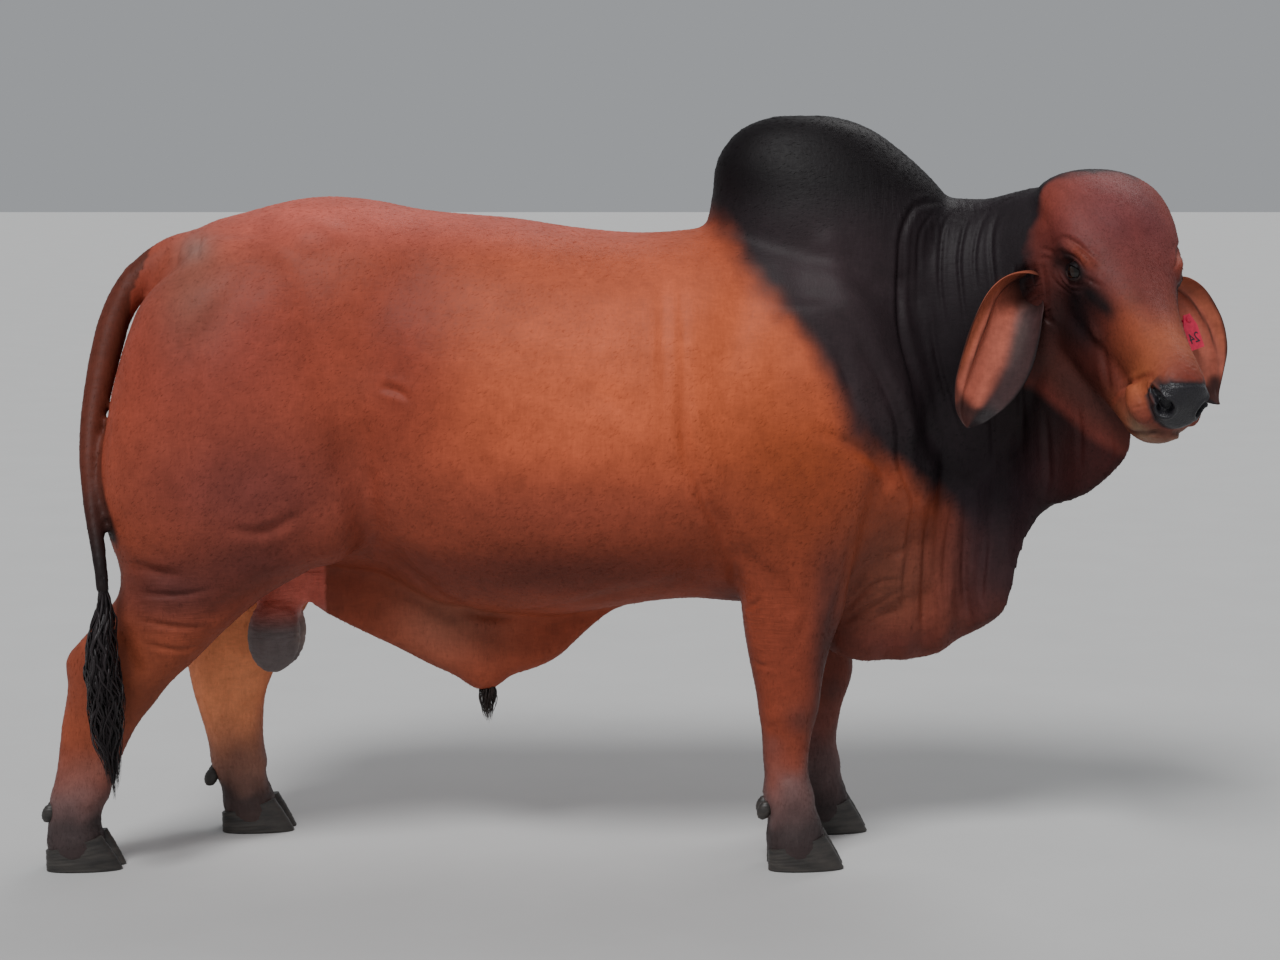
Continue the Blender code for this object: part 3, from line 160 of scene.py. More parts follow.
# Dewlap levels: z, back, front, half thickness
DEWLAP = (
    (0.452, 0.50, 0.665, 0.030),
    (0.470, 0.445, 0.705, 0.042),
    (0.500, 0.420, 0.752, 0.052),
    (0.550, 0.400, 0.826, 0.056),
    (0.590, 0.400, 0.852, 0.054),
    (0.700, 0.400, 0.872, 0.050),
    (0.760, 0.42, 0.888, 0.048),
    (0.820, 0.44, 0.921, 0.048),
    (0.860, 0.48, 0.987, 0.046),
    (0.893, 0.50, 1.026, 0.046),
    (0.930, 0.52, 1.055, 0.048),
    (0.963, 0.55, 1.075, 0.050),
    (1.000, 0.58, 1.084, 0.054),
    (1.060, 0.62, 1.082, 0.062),
    (1.140, 0.66, 1.062, 0.070),
    (1.220, 0.70, 1.030, 0.064),
    (1.300, 0.74, 0.980, 0.040),
)
# Its upright folds: depth, spacing, how far they lean with height, and where they begin
DEWLAP_FOLD = (0.013, 0.088, 0.04, 0.50)
# The dewlap follows the neck's bend: where it starts, where it ends, and how far it swings
DEWLAP_BEND = (0.74, 1.12, 0.300)
# Sheath sections: x, top, bottom, half width
SHEATH = (
    (-0.80, 0.72, 0.610, 0.018),
    (-0.747, 0.70, 0.568, 0.026),
    (-0.66, 0.70, 0.522, 0.034),
    (-0.56, 0.70, 0.473, 0.040),
    (-0.49, 0.68, 0.436, 0.045),
    (-0.433, 0.67, 0.410, 0.048),
    (-0.384, 0.66, 0.378, 0.047),
    (-0.340, 0.66, 0.380, 0.045),
    (-0.300, 0.66, 0.410, 0.046),
    (-0.240, 0.66, 0.430, 0.046),
    (-0.187, 0.66, 0.458, 0.044),
    (-0.128, 0.66, 0.515, 0.040),
    (-0.060, 0.66, 0.572, 0.034),
    (0.020, 0.66, 0.610, 0.024),
)
# Head frame: its place is the point midway between the eyes, and its scale is this bull's
# head against the section tables below
HEAD_PLACE = Vector((1.063, -0.270, 1.372))
HEAD_YAW = math.radians(-74.0)
# The ears hang square to the poll, which turns a little less than the face
EARS_YAW = math.radians(-69.0)
HEAD_PITCH = math.radians(36.0)
HEAD_ROLL = math.radians(-5.0)
HEAD_SCALE = (1.06, 1.16, 1.12)
# Skull sections in the head's frame: x, top, bottom, half width, height of the widest place
SKULL = (
    (-0.275, 0.016, -0.120, 0.076, -0.04),
    (-0.240, 0.078, -0.150, 0.112, 0.01),
    (-0.190, 0.101, -0.170, 0.131, 0.03),
    (-0.120, 0.104, -0.180, 0.134, 0.03),
    (-0.050, 0.091, -0.180, 0.127, 0.02),
    (0.000, 0.075, -0.175, 0.114, 0.00),
    (0.060, 0.059, -0.160, 0.098, -0.02),
    (0.120, 0.047, -0.145, 0.0815, -0.03),
    (0.180, 0.040, -0.130, 0.0690, -0.03),
    (0.240, 0.035, -0.115, 0.0605, -0.03),
    (0.300, 0.032, -0.105, 0.0565, -0.03),
    (0.345, 0.026, -0.100, 0.0560, -0.03),
    (0.375, 0.011, -0.094, 0.0500, -0.035),
    (0.394, -0.018, -0.082, 0.0340, -0.04),
)
# Lower jaw sections in the head's frame, in the same form
JAW = (
    (-0.180, -0.060, -0.215, 0.070, -0.14),
    (-0.140, -0.050, -0.238, 0.098, -0.14),
    (-0.060, -0.050, -0.240, 0.105, -0.13),
    (0.020, -0.050, -0.225, 0.098, -0.12),
    (0.100, -0.060, -0.206, 0.081, -0.12),
    (0.180, -0.070, -0.192, 0.068, -0.12),
    (0.260, -0.080, -0.182, 0.057, -0.12),
    (0.315, -0.085, -0.176, 0.051, -0.12),
    (0.352, -0.090, -0.158, 0.043, -0.115),
    (0.370, -0.095, -0.132, 0.030, -0.11),
)
# The line between the lips in the head's frame, from one corner of the mouth to the other
MOUTH_LINE = (
    (0.235, -0.042, -0.176),
    (0.285, -0.042, -0.166),
    (0.325, -0.040, -0.150),
    (0.354, -0.035, -0.124),
    (0.374, -0.021, -0.107),
    (0.384, 0.000, -0.101),
    (0.374, 0.021, -0.107),
    (0.354, 0.035, -0.124),
    (0.325, 0.040, -0.150),
    (0.285, 0.042, -0.166),
    (0.235, 0.042, -0.176),
)
EYE_RADIUS = 0.0225
EYE_PLACE = (0.009, 0.0985, -0.004)
LID_HALF = (0.0235, 0.0125)
LID_TILT = 28.0
# Tail stations: x, y, z, radius
TAIL = (
    (-0.985, 0.000, 1.410, 0.046),
    (-1.050, -0.002, 1.404, 0.046),
    (-1.118, -0.014, 1.366, 0.044),
    (-1.166, -0.032, 1.312, 0.041),
    (-1.198, -0.056, 1.246, 0.038),
    (-1.217, -0.090, 1.162, 0.0345),
    (-1.229, -0.122, 1.085, 0.0310),
    (-1.236, -0.158, 1.015, 0.0275),
    (-1.236, -0.194, 0.945, 0.0245),
    (-1.230, -0.219, 0.885, 0.0220),
    (-1.221, -0.246, 0.826, 0.0200),
    (-1.207, -0.274, 0.760, 0.0180),
    (-1.197, -0.294, 0.705, 0.0168),
    (-1.191, -0.304, 0.645, 0.0160),
)
# Below the tail's end, the hair's stations: x, y, z, half depth and half width
SWITCH = (
    (-1.190, -0.306, 0.610, 0.024, 0.028),
    (-1.196, -0.310, 0.570, 0.032, 0.043),
    (-1.197, -0.312, 0.507, 0.038, 0.055),
    (-1.190, -0.312, 0.440, 0.040, 0.055),
    (-1.189, -0.312, 0.370, 0.038, 0.051),
    (-1.186, -0.312, 0.310, 0.030, 0.040),
    (-1.177, -0.312, 0.250, 0.018, 0.022),
    (-1.177, -0.312, 0.195, 0.005, 0.008),
)
# The tuft under the sheath, in the same forms
TUFT = (
    (-0.352, 0.0, 0.420, 0.016, 0.016),
    (-0.354, 0.0, 0.385, 0.024, 0.026),
    (-0.356, 0.0, 0.345, 0.022, 0.026),
    (-0.354, 0.0, 0.298, 0.008, 0.010),
)
# Ear stations: part of the way along it, width, curl half angle, thickness
EAR_LEAF = (
    (0.00, 0.064, 150.0, 0.0095),
    (0.14, 0.086, 124.0, 0.0090),
    (0.28, 0.128, 90.0, 0.0080),
    (0.44, 0.155, 61.0, 0.0070),
    (0.60, 0.160, 48.0, 0.0065),
    (0.77, 0.139, 40.0, 0.0060),
    (0.90, 0.090, 30.0, 0.0055),
    (1.00, 0.030, 18.0, 0.0050),
)
# The left ear's axis from the head's place, in the head's frame with its pitch taken out
EAR_AXIS = (
    (-0.145, 0.112, -0.050),
    (-0.145, 0.182, -0.062),
    (-0.128, 0.234, -0.092),
    (-0.104, 0.268, -0.142),
    (-0.092, 0.292, -0.206),
    (-0.098, 0.310, -0.272),
    (-0.105, 0.324, -0.332),
)
EAR_OPENS = (0.96, 0.28, 0.0)
# How far the middle of the right and of the left ear lies in towards the head
EAR_TUCK = {-1: 0.033, 1: 0.006}
# How the head's roll carries over to an ear's root and to its tip
EAR_ROLL = (1.0, -0.5)
TAG_AT = 0.41
# How far the tag hangs straight down rather than along the ear
TAG_DROP = 1.2
TAG_SIZE = (0.046, 0.070, 0.0022)
# How far in front of the ear's axis and aside of it the tag hangs, and where the stud's
# back button lies
TAG_FRONT = 0.010
TAG_ASIDE = -0.017
# Height of the coronet at the heel and at the toe, and how far the toe stands out
CORONET = (0.048, 0.080)
TOE_REACH = 0.046
CLEFT = 0.009
TOE_TURN = 0.012
FETLOCK_HEIGHT = 0.16
DEWCLAW = (0.016, 0.013, 0.023)
SIDES = ((RIGHT, "right"), (LEFT, "left"))

# The skin's cell size, the hair's depth over it, and the seeds of its random draws
SKIN_VOXEL = 0.0085
COAT_DEPTH = 0.0015
COAT_SEED = 4
# Coat pieces, named by region: number of tufts, their length, width and lift
COAT_PLANS = (
    ("coat_body_a", 19500, 0.0120, 0.0013, 0.035),
    ("coat_body_b", 19500, 0.0100, 0.0011, 0.030),
    ("coat_body_c", 19500, 0.0110, 0.0012, 0.040),
    ("coat_head_a", 19500, 0.0062, 0.0008, 0.040),
    ("coat_head_b", 14000, 0.0080, 0.0009, 0.060),
    ("coat_feet", 11000, 0.0080, 0.0010, 0.060),
)
# How far the lie of the hair wanders
HAIR_SWIRL = 0.20
# How far the light on a tuft leaves that on the hide under it
TUFT_SHEEN = 0.10

# Creases of the flanks and limbs, in x and z: path, width, depth
BODY_CREASES = (
    (((-1.044, 1.427), (-1.050, 1.400), (-1.046, 1.370)), 0.007, 0.006),
    (((-0.992, 1.448), (-0.992, 1.420), (-0.985, 1.385)), 0.008, 0.005),
    (((-0.574, 1.119), (-0.533, 1.110), (-0.502, 1.091)), 0.009, 0.006),
    (((-0.597, 0.943), (-0.611, 0.860), (-0.627, 0.772)), 0.024, 0.007),
    (((-0.920, 0.806), (-0.840, 0.795), (-0.779, 0.820), (-0.739, 0.845)), 0.013, 0.007),
    (((-1.139, 0.719), (-1.072, 0.698), (-1.010, 0.692)), 0.013, 0.007),
    (((-1.129, 0.650), (-1.023, 0.648), (-0.950, 0.664)), 0.007, 0.004),
    (((-1.120, 0.588), (-1.037, 0.573), (-0.968, 0.569)), 0.007, 0.004),
    (((-1.116, 0.535), (-1.031, 0.517), (-0.995, 0.531)), 0.006, 0.003),
    (((-0.139, 1.143), (-0.039, 1.074), (0.011, 1.005)), 0.026, 0.003),
    (((0.047, 1.414), (0.052, 1.20), (0.052, 0.974), (0.022, 0.934)), 0.014, 0.0025),
    (((0.088, 1.366), (0.096, 1.15), (0.096, 0.973), (0.103, 0.784)), 0.012, 0.0025),
    (((0.094, 1.125), (0.094, 1.037), (0.145, 0.876), (0.186, 0.790), (0.211, 0.645)), 0.018, 0.012),
    (((0.477, 0.785), (0.469, 0.700), (0.441, 0.608), (0.423, 0.509)), 0.011, 0.007),
    (((0.205, 0.752), (0.219, 0.646), (0.235, 0.604)), 0.011, 0.007),
    (((0.373, 0.733), (0.376, 0.613), (0.344, 0.493)), 0.014, 0.005),
    (((0.237, 0.605), (0.256, 0.622), (0.274, 0.635)), 0.006, 0.004),
    (((0.254, 0.484), (0.277, 0.478), (0.299, 0.481)), 0.006, 0.003),
    (((0.484, 1.219), (0.542, 1.118), (0.577, 1.025), (0.587, 0.931), (0.622, 0.843),
      (0.617, 0.740)), 0.012, 0.011),
    (((0.427, 1.209), (0.460, 1.130), (0.482, 1.054)), 0.012, 0.006),
    (((0.569, 1.293), (0.603, 1.157), (0.643, 1.016), (0.701, 0.888)), 0.012, 0.010),
    (((0.369, 1.033), (0.508, 0.961), (0.597, 0.845)), 0.012, 0.007),
    (((-0.632, 0.736), (-0.550, 0.710), (-0.449, 0.619), (-0.350, 0.565), (-0.186, 0.597),
      (-0.050, 0.643), (0.115, 0.675)), 0.013, 0.008),
)
# Upright folds of the neck, in the same form
NECK_CREASES = (
    (((0.681, 1.518), (0.618, 1.507), (0.587, 1.450), (0.581, 1.372), (0.581, 1.270),
      (0.598, 1.180), (0.642, 1.062)), 0.0070, 0.0085),
    (((0.667, 1.500), (0.629, 1.450), (0.623, 1.370), (0.623, 1.269)), 0.0046, 0.0030),
    (((0.728, 1.511), (0.689, 1.471), (0.675, 1.415), (0.672, 1.330), (0.686, 1.230)), 0.0046, 0.0040),
    (((0.758, 1.511), (0.729, 1.460), (0.715, 1.393), (0.718, 1.325), (0.728, 1.240)), 0.0046, 0.0040),
    (((0.795, 1.514), (0.762, 1.460), (0.748, 1.394), (0.752, 1.320)), 0.0040, 0.0030),
    (((0.825, 1.517), (0.794, 1.473), (0.784, 1.416), (0.790, 1.330), (0.800, 1.250)), 0.0046, 0.0035),
    (((0.650, 1.300), (0.664, 1.180), (0.700, 1.060), (0.740, 0.960)), 0.0059, 0.0040),
    (((0.760, 1.230), (0.782, 1.120), (0.800, 1.000), (0.812, 0.900)), 0.0066, 0.0045),
    (((0.830, 1.240), (0.850, 1.130), (0.862, 1.020), (0.866, 0.930)), 0.0066, 0.0040),
    (((0.905, 1.060), (0.912, 0.995), (0.919, 0.901), (0.911, 0.848)), 0.0066, 0.0045),
    (((0.968, 1.080), (0.976, 1.010), (0.980, 0.930)), 0.0059, 0.0035),
    (((1.034, 1.023), (1.042, 0.973), (1.028, 0.936)), 0.0053, 0.0030),
)
# Folds of the dewlap and of the brisket behind it
DEWLAP_CREASES = (
    (((0.625, 0.880), (0.617, 0.752), (0.608, 0.631), (0.612, 0.507)), 0.0080, 0.0062),
    (((0.666, 0.848), (0.655, 0.701), (0.657, 0.491)), 0.0072, 0.0056),
    (((0.726, 0.863), (0.705, 0.697), (0.708, 0.529)), 0.0080, 0.0062),
    (((0.752, 0.814), (0.749, 0.634), (0.769, 0.532)), 0.0064, 0.0043),
    (((0.798, 0.757), (0.788, 0.626), (0.801, 0.574)), 0.0064, 0.0043),
    (((0.468, 0.584), (0.536, 0.647), (0.602, 0.656)), 0.0064, 0.0050),
    (((0.465, 0.554), (0.539, 0.596), (0.603, 0.631)), 0.0064, 0.0050),
    (((0.480, 0.525), (0.545, 0.560), (0.600, 0.585)), 0.0056, 0.0031),
    (((0.545, 0.732), (0.582, 0.718), (0.617, 0.740)), 0.0072, 0.0043),
)
# Creases of the head in its own frame, with y on the right side: path, width, depth
HEAD_CREASES = (
    (((-0.072, -0.138, -0.003), (-0.050, -0.133, 0.035), (-0.017, -0.116, 0.050),
      (0.022, -0.095, 0.051), (0.052, -0.074, 0.045)), 0.0045, 0.0035),
    (((-0.030, -0.130, 0.007), (-0.013, -0.124, 0.022), (0.015, -0.112, 0.027),
      (0.040, -0.102, 0.020)), 0.0026, 0.0026),
    (((-0.026, -0.127, -0.024), (-0.001, -0.120, -0.030), (0.023, -0.113, -0.027),
      (0.046, -0.104, -0.008)), 0.0024, 0.0022),
    (((-0.036, -0.130, -0.029), (-0.005, -0.121, -0.041), (0.029, -0.110, -0.036),
      (0.058, -0.095, -0.013)), 0.0032, 0.0024),
    (((-0.042, -0.129, -0.044), (-0.005, -0.119, -0.054), (0.038, -0.106, -0.046)), 0.0036, 0.0018),
    (((0.041, -0.103, 0.010), (0.063, -0.093, 0.013), (0.084, -0.083, 0.018)), 0.0040, 0.0030),
    (((-0.050, -0.135, -0.021), (-0.067, -0.138, -0.029), (-0.081, -0.140, -0.045)), 0.0040, 0.0026),
    (((-0.050, -0.134, -0.007), (-0.071, -0.140, -0.011), (-0.087, -0.143, -0.023)), 0.0040, 0.0024),
    (((0.318, -0.053, -0.011), (0.301, -0.055, -0.031), (0.287, -0.056, -0.052),
      (0.267, -0.055, -0.075), (0.255, -0.053, -0.097), (0.246, -0.056, -0.144)), 0.0060, 0.0050),
    (((0.144, -0.074, -0.082), (0.186, -0.068, -0.104), (0.228, -0.060, -0.128)), 0.0090, 0.0050),
    (((0.355, -0.056, -0.054), (0.339, -0.056, -0.077), (0.323, -0.053, -0.101)), 0.0036, 0.0022),
    (((0.374, -0.046, -0.069), (0.361, -0.043, -0.087), (0.345, -0.041, -0.107)), 0.0032, 0.0018),
)
# Raised rolls of the head in the same form
HEAD_ROLLS = (
    (((-0.059, -0.135, -0.012), (-0.040, -0.132, 0.017), (-0.013, -0.120, 0.033),
      (0.017, -0.105, 0.037), (0.052, -0.091, 0.028), (0.063, -0.087, 0.026)), 0.0065, 0.0042),
    (((-0.020, -0.127, -0.034), (0.011, -0.117, -0.035), (0.038, -0.107, -0.020)), 0.0045, 0.0020),
    (((0.345, -0.036, -0.140), (0.362, -0.024, -0.121), (0.370, 0.000, -0.118)), 0.0080, 0.0030),
)
MOUTH_WIDTH = 0.0045
MOUTH_DEPTH = 0.0055

# The nose pad's outline from the front, in y and z of the head's frame, for its right half
NOSE_PAD = (
    (0.0, 0.012), (-0.016, 0.011), (-0.034, 0.006), (-0.047, -0.006), (-0.055, -0.024),
    (-0.056, -0.040), (-0.050, -0.060), (-0.037, -0.079), (-0.018, -0.091), (0.0, -0.093),
)
NOSE_BACK = 0.335
# A nostril in the head's frame: places and radii of the balls that it is pressed by, and depth
NOSTRIL = (
    ((0.380, 0.037, -0.038), (0.040, 0.0135, 0.0180)),
    ((0.366, 0.048, -0.027), (0.034, 0.0105, 0.0105)),
)
NOSTRIL_DEPTH = 0.022

# How far the lids stand off the eyeball, y of the lids and of the eye's front in the head's frame,
# and the depth of the opening between the lids
EYE_LID_PROUD = 0.0022
LID_FRONT = 0.112
EYE_FRONT = 0.115
EYE_OPENING_DEPTH = 0.030
# How far behind an ear's cup the head's hide lies, and the rows and columns of an ear's mesh
EAR_CLEAR = 0.007
EAR_ROWS = 84
EAR_ARC = 40
# The band of hide above the claws: its top, where it is fully out, and how far past them
CORONET_RISE = 0.150
CORONET_FULL = 0.100
CORONET_PROUD = 0.001
# Rows and sides of a claw's mesh
CLAW_ROWS = 44
CLAW_SIDES = 56

# The tag's plain number: its height, half its thickness, its gap and how far down the tag it is
TAG_NUMBER = "24"
TAG_NUMBER_SIZE = 0.034
TAG_PRINT_HALF = 0.0003
TAG_PRINT_GAP = 0.0002
TAG_NUMBER_DROP = 0.045

# Colours, linear
COAT_RED = (0.300, 0.058, 0.027)
SWITCH_COLOUR = (0.017, 0.013, 0.014)
SHEATH_HAIR_COLOUR = (0.024, 0.016, 0.014)
TAG_RED = (0.72, 0.020, 0.075)
TAG_PRINT_COLOUR = (0.030, 0.022, 0.035)

# The camera before the part's shift: place, degrees tipped down, lens and sensor in millimetres
CAMERA_PLACE = (0.0, -6.3, 1.70)
CAMERA_DIP = 7.485
CAMERA_LENS = 77.06
SENSOR_WIDTH = 36.0
# Lights: name, where from, the angle that each spreads over in degrees, and strength
LAMPS = (("key", (-1.6, -4.2, 5.6), 20.0, 2.6), ("rim", (2.2, 3.6, 5.0), 30.0, 0.9))
SKY_COLOUR = (0.86, 0.89, 0.93, 1)
SKY_STRENGTH = 0.40
# The floor: its size, how far it lies under the feet, and its two greys
FLOOR_SIZE = 90.0
FLOOR_GAP = 0.0005
FLOOR_TONES = ((0.47, 0.47, 0.465), (0.52, 0.52, 0.515))

# Plans of the long hair: lowest and highest root, lowest and highest tip, and how many locks
SWITCH_PLANS = (
    (0.640, 0.700, 0.400, 0.560, 60),
    (0.600, 0.660, 0.300, 0.480, 110),
    (0.520, 0.620, 0.225, 0.400, 150),
    (0.430, 0.560, 0.190, 0.300, 110),
)
# How far the loose switch spreads past the solid one
SWITCH_LOOSE = 1.12
TUFT_PLANS = ((0.380, 0.425, 0.298, 0.350, 120),)
# The locks' width, the seed of their draws, and how far they wave round their path
SWITCH_LOCKS = (0.0075, 6, 0.34)
TUFT_LOCKS = (0.0045, 8, 0.10)
# Rows and sides of one lock
LOCK_STEPS = 22
LOCK_SIDES = 5

FLESH_NODES = (
    "head", "hump", "neck", "dewlap", "chest", "barrel", "rump", "sheath", "scrotum",
    "foreleg_right", "foreleg_left", "hindleg_right", "hindleg_left", "tail_base", "tail_shaft",
)
# The stretch of a noise that is the same along every axis
EVEN = (1.0, 1.0, 1.0)


def add_object(name, data):
    thing = bpy.data.objects.new(name, data)
    bpy.context.scene.collection.objects.link(thing)
    return thing


def mesh_object(name, points, faces):
    """A closed mesh object with its faces turned out."""
    mesh = bpy.data.meshes.new(name)
    mesh.from_pydata([tuple(point) for point in points], [], [tuple(face) for face in faces])
    work = bmesh.new()
    work.from_mesh(mesh)
    bmesh.ops.recalc_face_normals(work, faces=work.faces)
    work.to_mesh(mesh)
    work.free()
    return add_object(name, mesh)


def smooth_rows(rows, count):
    """Rows of numbers read off a smooth curve through the given rows."""
    rows = np.asarray(rows, float)
    last = len(rows) - 1
    place = np.linspace(0, last, count)
    index = np.minimum(place.astype(int), last - 1)
    part = (place - index)[:, None]
    ends = np.vstack([2 * rows[0] - rows[1], rows, 2 * rows[-1] - rows[-2]])
    before, start, end, after = (ends[index + step] for step in range(4))
    bend = 2 * before - 5 * start + 4 * end - after
    twist = 3 * start - before - 3 * end + after
    return 0.5 * (2 * start + (end - before) * part + bend * part**2 + twist * part**3)


def round_factors(count, power, low_power=None):
    """Factors across and up that go once round a superellipse, with its own power below."""
    turn = np.linspace(0, 2 * math.pi, count, endpoint=False)
    across, up = np.cos(turn), np.sin(turn)
    power = np.where(up < 0, low_power or power, power)
    return np.sign(across) * abs(across) ** (2 / power), np.sign(up) * abs(up) ** (2 / power)


def loft(name, rings):
    """A closed tube through rings of equal count, with a fan over each end."""
    count = len(rings[0])
    points = np.vstack([*rings, rings[0].mean(axis=0), rings[-1].mean(axis=0)])
    faces = []
    for row in range(len(rings) - 1):
        for step in range(count):
            after = (step + 1) % count
            low, high = row * count, (row + 1) * count
            faces.append((low + step, low + after, high + after, high + step))
    top = (len(rings) - 1) * count
    for step in range(count):
        after = (step + 1) % count
        faces.append((step, after, len(points) - 2))
        faces.append((top + step, top + after, len(points) - 1))
    return mesh_object(name, points, faces)


def girth_ring(x, top, bottom, half, widest, power=2.15, count=40):
    """An upright ring across the body, with its widest place at its own height."""
    across, up = round_factors(count, power)
    height = np.where(up > 0, widest + (top - widest) * up, widest + (widest - bottom) * up)
    return np.stack([np.full(count, x), half * across, height], axis=1)


def level_ring(z, back, front, inner, outer, side, power=2.3, count=28):
    """A level ring through a leg."""
    across, up = round_factors(count, power)
    x = (back + front) / 2 + (front - back) / 2 * across
    y = side * ((inner + outer) / 2 + (outer - inner) / 2 * up)
    return np.stack([x, y, np.full(count, z)], axis=1)


def tube_rings(stations, power=2.0, count=24, up=Vector((0, 0, 1)), low_power=None):
    """Rings set square to a path. A station is x, y, z, half height and half width."""
    stations = np.asarray(stations, float)
    if stations.shape[1] == 4:
        stations = np.hstack([stations, stations[:, 3:4]])
    along = np.gradient(stations[:, :3], axis=0)
    across, rise = round_factors(count, power, low_power)
    rings = []
    for station, direction in zip(stations, along):
        forward = Vector(direction).normalized()
        side = forward.cross(up).normalized()
        top = side.cross(forward).normalized()
        offset = np.outer(across * station[4], side) + np.outer(rise * station[3], top)
        rings.append(station[:3] + offset)
    return rings


def ellipsoid(place, radii, turn=(0.0, 0.0, 0.0), detail=3):
    """A ball stretched by radii, turned by degrees about X, Y and Z, and set at place."""
    work = bmesh.new()
    bmesh.ops.create_icosphere(work, subdivisions=detail, radius=1.0)
    mesh = bpy.data.meshes.new("ball")
    work.to_mesh(mesh)
    work.free()
    turned = Matrix.Identity(4)
    for angle, axis in zip(turn, "XYZ"):
        turned = Matrix.Rotation(math.radians(angle), 4, axis) @ turned
    mesh.transform(Matrix.Translation(place) @ turned @ Matrix.Diagonal((*radii, 1.0)))
    return add_object("ball", mesh)


def both_sides(place, radii, turn=(0.0, 0.0, 0.0)):
    """Two mirrored balls, one on each side of the middle plane."""
    x, y, z = place
    about_x, about_y, about_z = turn
    return [
        ellipsoid((x, side * abs(y), z), radii, (-side * about_x, about_y, -side * about_z))
        for side in (RIGHT, LEFT)
    ]


def head_matrix():
    """The head's frame in the world: X to the muzzle, Y to its left, Z up through the forehead."""
    turned = Matrix.Rotation(HEAD_YAW, 4, "Z") @ Matrix.Rotation(HEAD_PITCH, 4, "Y")
    turned = turned @ Matrix.Rotation(HEAD_ROLL, 4, "X")
    return Matrix.Translation(HEAD_PLACE) @ turned @ Matrix.Diagonal((*HEAD_SCALE, 1.0))


def level_head_matrix():
    """The head's place and the poll's yaw alone, for what hangs from it."""
    return Matrix.Translation(HEAD_PLACE) @ Matrix.Rotation(EARS_YAW, 4, "Z")


def apply_modifier(thing, modifier):
    bpy.context.view_layer.objects.active = thing
    bpy.ops.object.modifier_apply(modifier=modifier.name)


def join(things):
    """One object from several, which may still cross one another."""
    work = bmesh.new()
    for thing in things:
        mesh = thing.data
        mesh.transform(thing.matrix_world)
        work.from_mesh(mesh)
        bpy.data.objects.remove(thing)
    mesh = bpy.data.meshes.new("joined")
    work.to_mesh(mesh)
    work.free()
    return add_object("joined", mesh)


def remesh(thing, voxel):
    modifier = thing.modifiers.new("remesh", "REMESH")
    modifier.mode = "VOXEL"
    modifier.voxel_size = voxel
    apply_modifier(thing, modifier)


def relax(thing, rounds, chosen=None):
    """Smooths the surface, or only the chosen points of it."""
    modifier = thing.modifiers.new("smooth", "SMOOTH")
    modifier.factor = 0.5
    modifier.iterations = rounds
    if chosen is not None:
        group = thing.vertex_groups.new(name="chosen")
        group.add(np.nonzero(chosen)[0].tolist(), 1.0, "REPLACE")
        modifier.vertex_group = group.name
    apply_modifier(thing, modifier)
    thing.vertex_groups.clear()


def keep_largest(thing):
    """Keeps only the closed surface with the most faces, and drops sealed hollows and scraps."""
    work = bmesh.new()
    work.from_mesh(thing.data)
    left = set(work.faces)
    shells = []
    while left:
        shell = [left.pop()]
        edge = list(shell)
        while edge:
            for link in edge.pop().edges:
                for face in link.link_faces:
                    if face in left:
                        left.discard(face)
                        shell.append(face)
                        edge.append(face)
        shells.append(shell)
    shells.sort(key=len)
    drop = [face for shell in shells[:-1] for face in shell]
    bmesh.ops.delete(work, geom=drop, context="FACES")
    work.to_mesh(thing.data)
    work.free()
    return thing


def vertex_arrays(mesh):
    points = np.empty(len(mesh.vertices) * 3, np.float32)
    normals = np.empty(len(mesh.vertices) * 3, np.float32)
    mesh.vertices.foreach_get("co", points)
    mesh.vertex_normals.foreach_get("vector", normals)
    return points.reshape(-1, 3).astype(float), normals.reshape(-1, 3).astype(float)


def path_distance(points, path):
    """Each point's distance from a run of straight stretches."""
    path = np.asarray(path, float)
    best = np.full(len(points), np.inf)
    for start, end in zip(path[:-1], path[1:]):
        run = end - start
        along = np.clip((points - start) @ run / (run @ run), 0.0, 1.0)
        best = np.minimum(best, np.linalg.norm(points - start - along[:, None] * run, axis=1))
    return best


def side_stroke(points, normals, path, width, depth, sides=(RIGHT, LEFT)):
    """Raises or presses the flanks along a path in x and z, where the skin faces sideways."""
    near = np.exp(-((path_distance(points[:, [0, 2]], path) / width) ** 2))
    for side in sides:
        facing = np.clip(side * normals[:, 1], 0.0, 1.0) ** 0.5
        here = near * facing * (side * points[:, 1] > -0.02)
        points += normals * (depth * here)[:, None]


def step_at(steps, height):
    heights, shifts = zip(*steps)
    return float(np.interp(height, heights, shifts))


def leg(rows, steps, side, count):
    """A leg's flesh from its level rings. The left one stands forward of the right one."""
    rings = []
    for z, back, front, inner, outer in smooth_rows(rows, count):
        shift = step_at(steps, z) if side == LEFT else 0.0
        rings.append(level_ring(z, back + shift, front + shift, inner, outer, side))
    return loft("leg", rings)


def trunk():
    return loft("trunk", [girth_ring(*row) for row in smooth_rows(TRUNK, 46)])


def hump():
    rings = []
    for z, back, front, half in smooth_rows(HUMP, 24):
        across, up = round_factors(32, 2.1)
        x = (back + front) / 2 + (front - back) / 2 * across
        rings.append(np.stack([x, half * up, np.full(32, z)], axis=1))
    return loft("hump", rings)


def neck():
    return loft("neck", tube_rings(smooth_rows(NECK, 20), power=2.2, count=36, low_power=1.45))


def dewlap_side(x):
    """How far the dewlap has swung to the animal's right at x."""
    start, end, swing = DEWLAP_BEND
    part = np.clip((x - start) / (end - start), 0.0, 1.0)
    return -swing * part**2 * (3 - 2 * part)


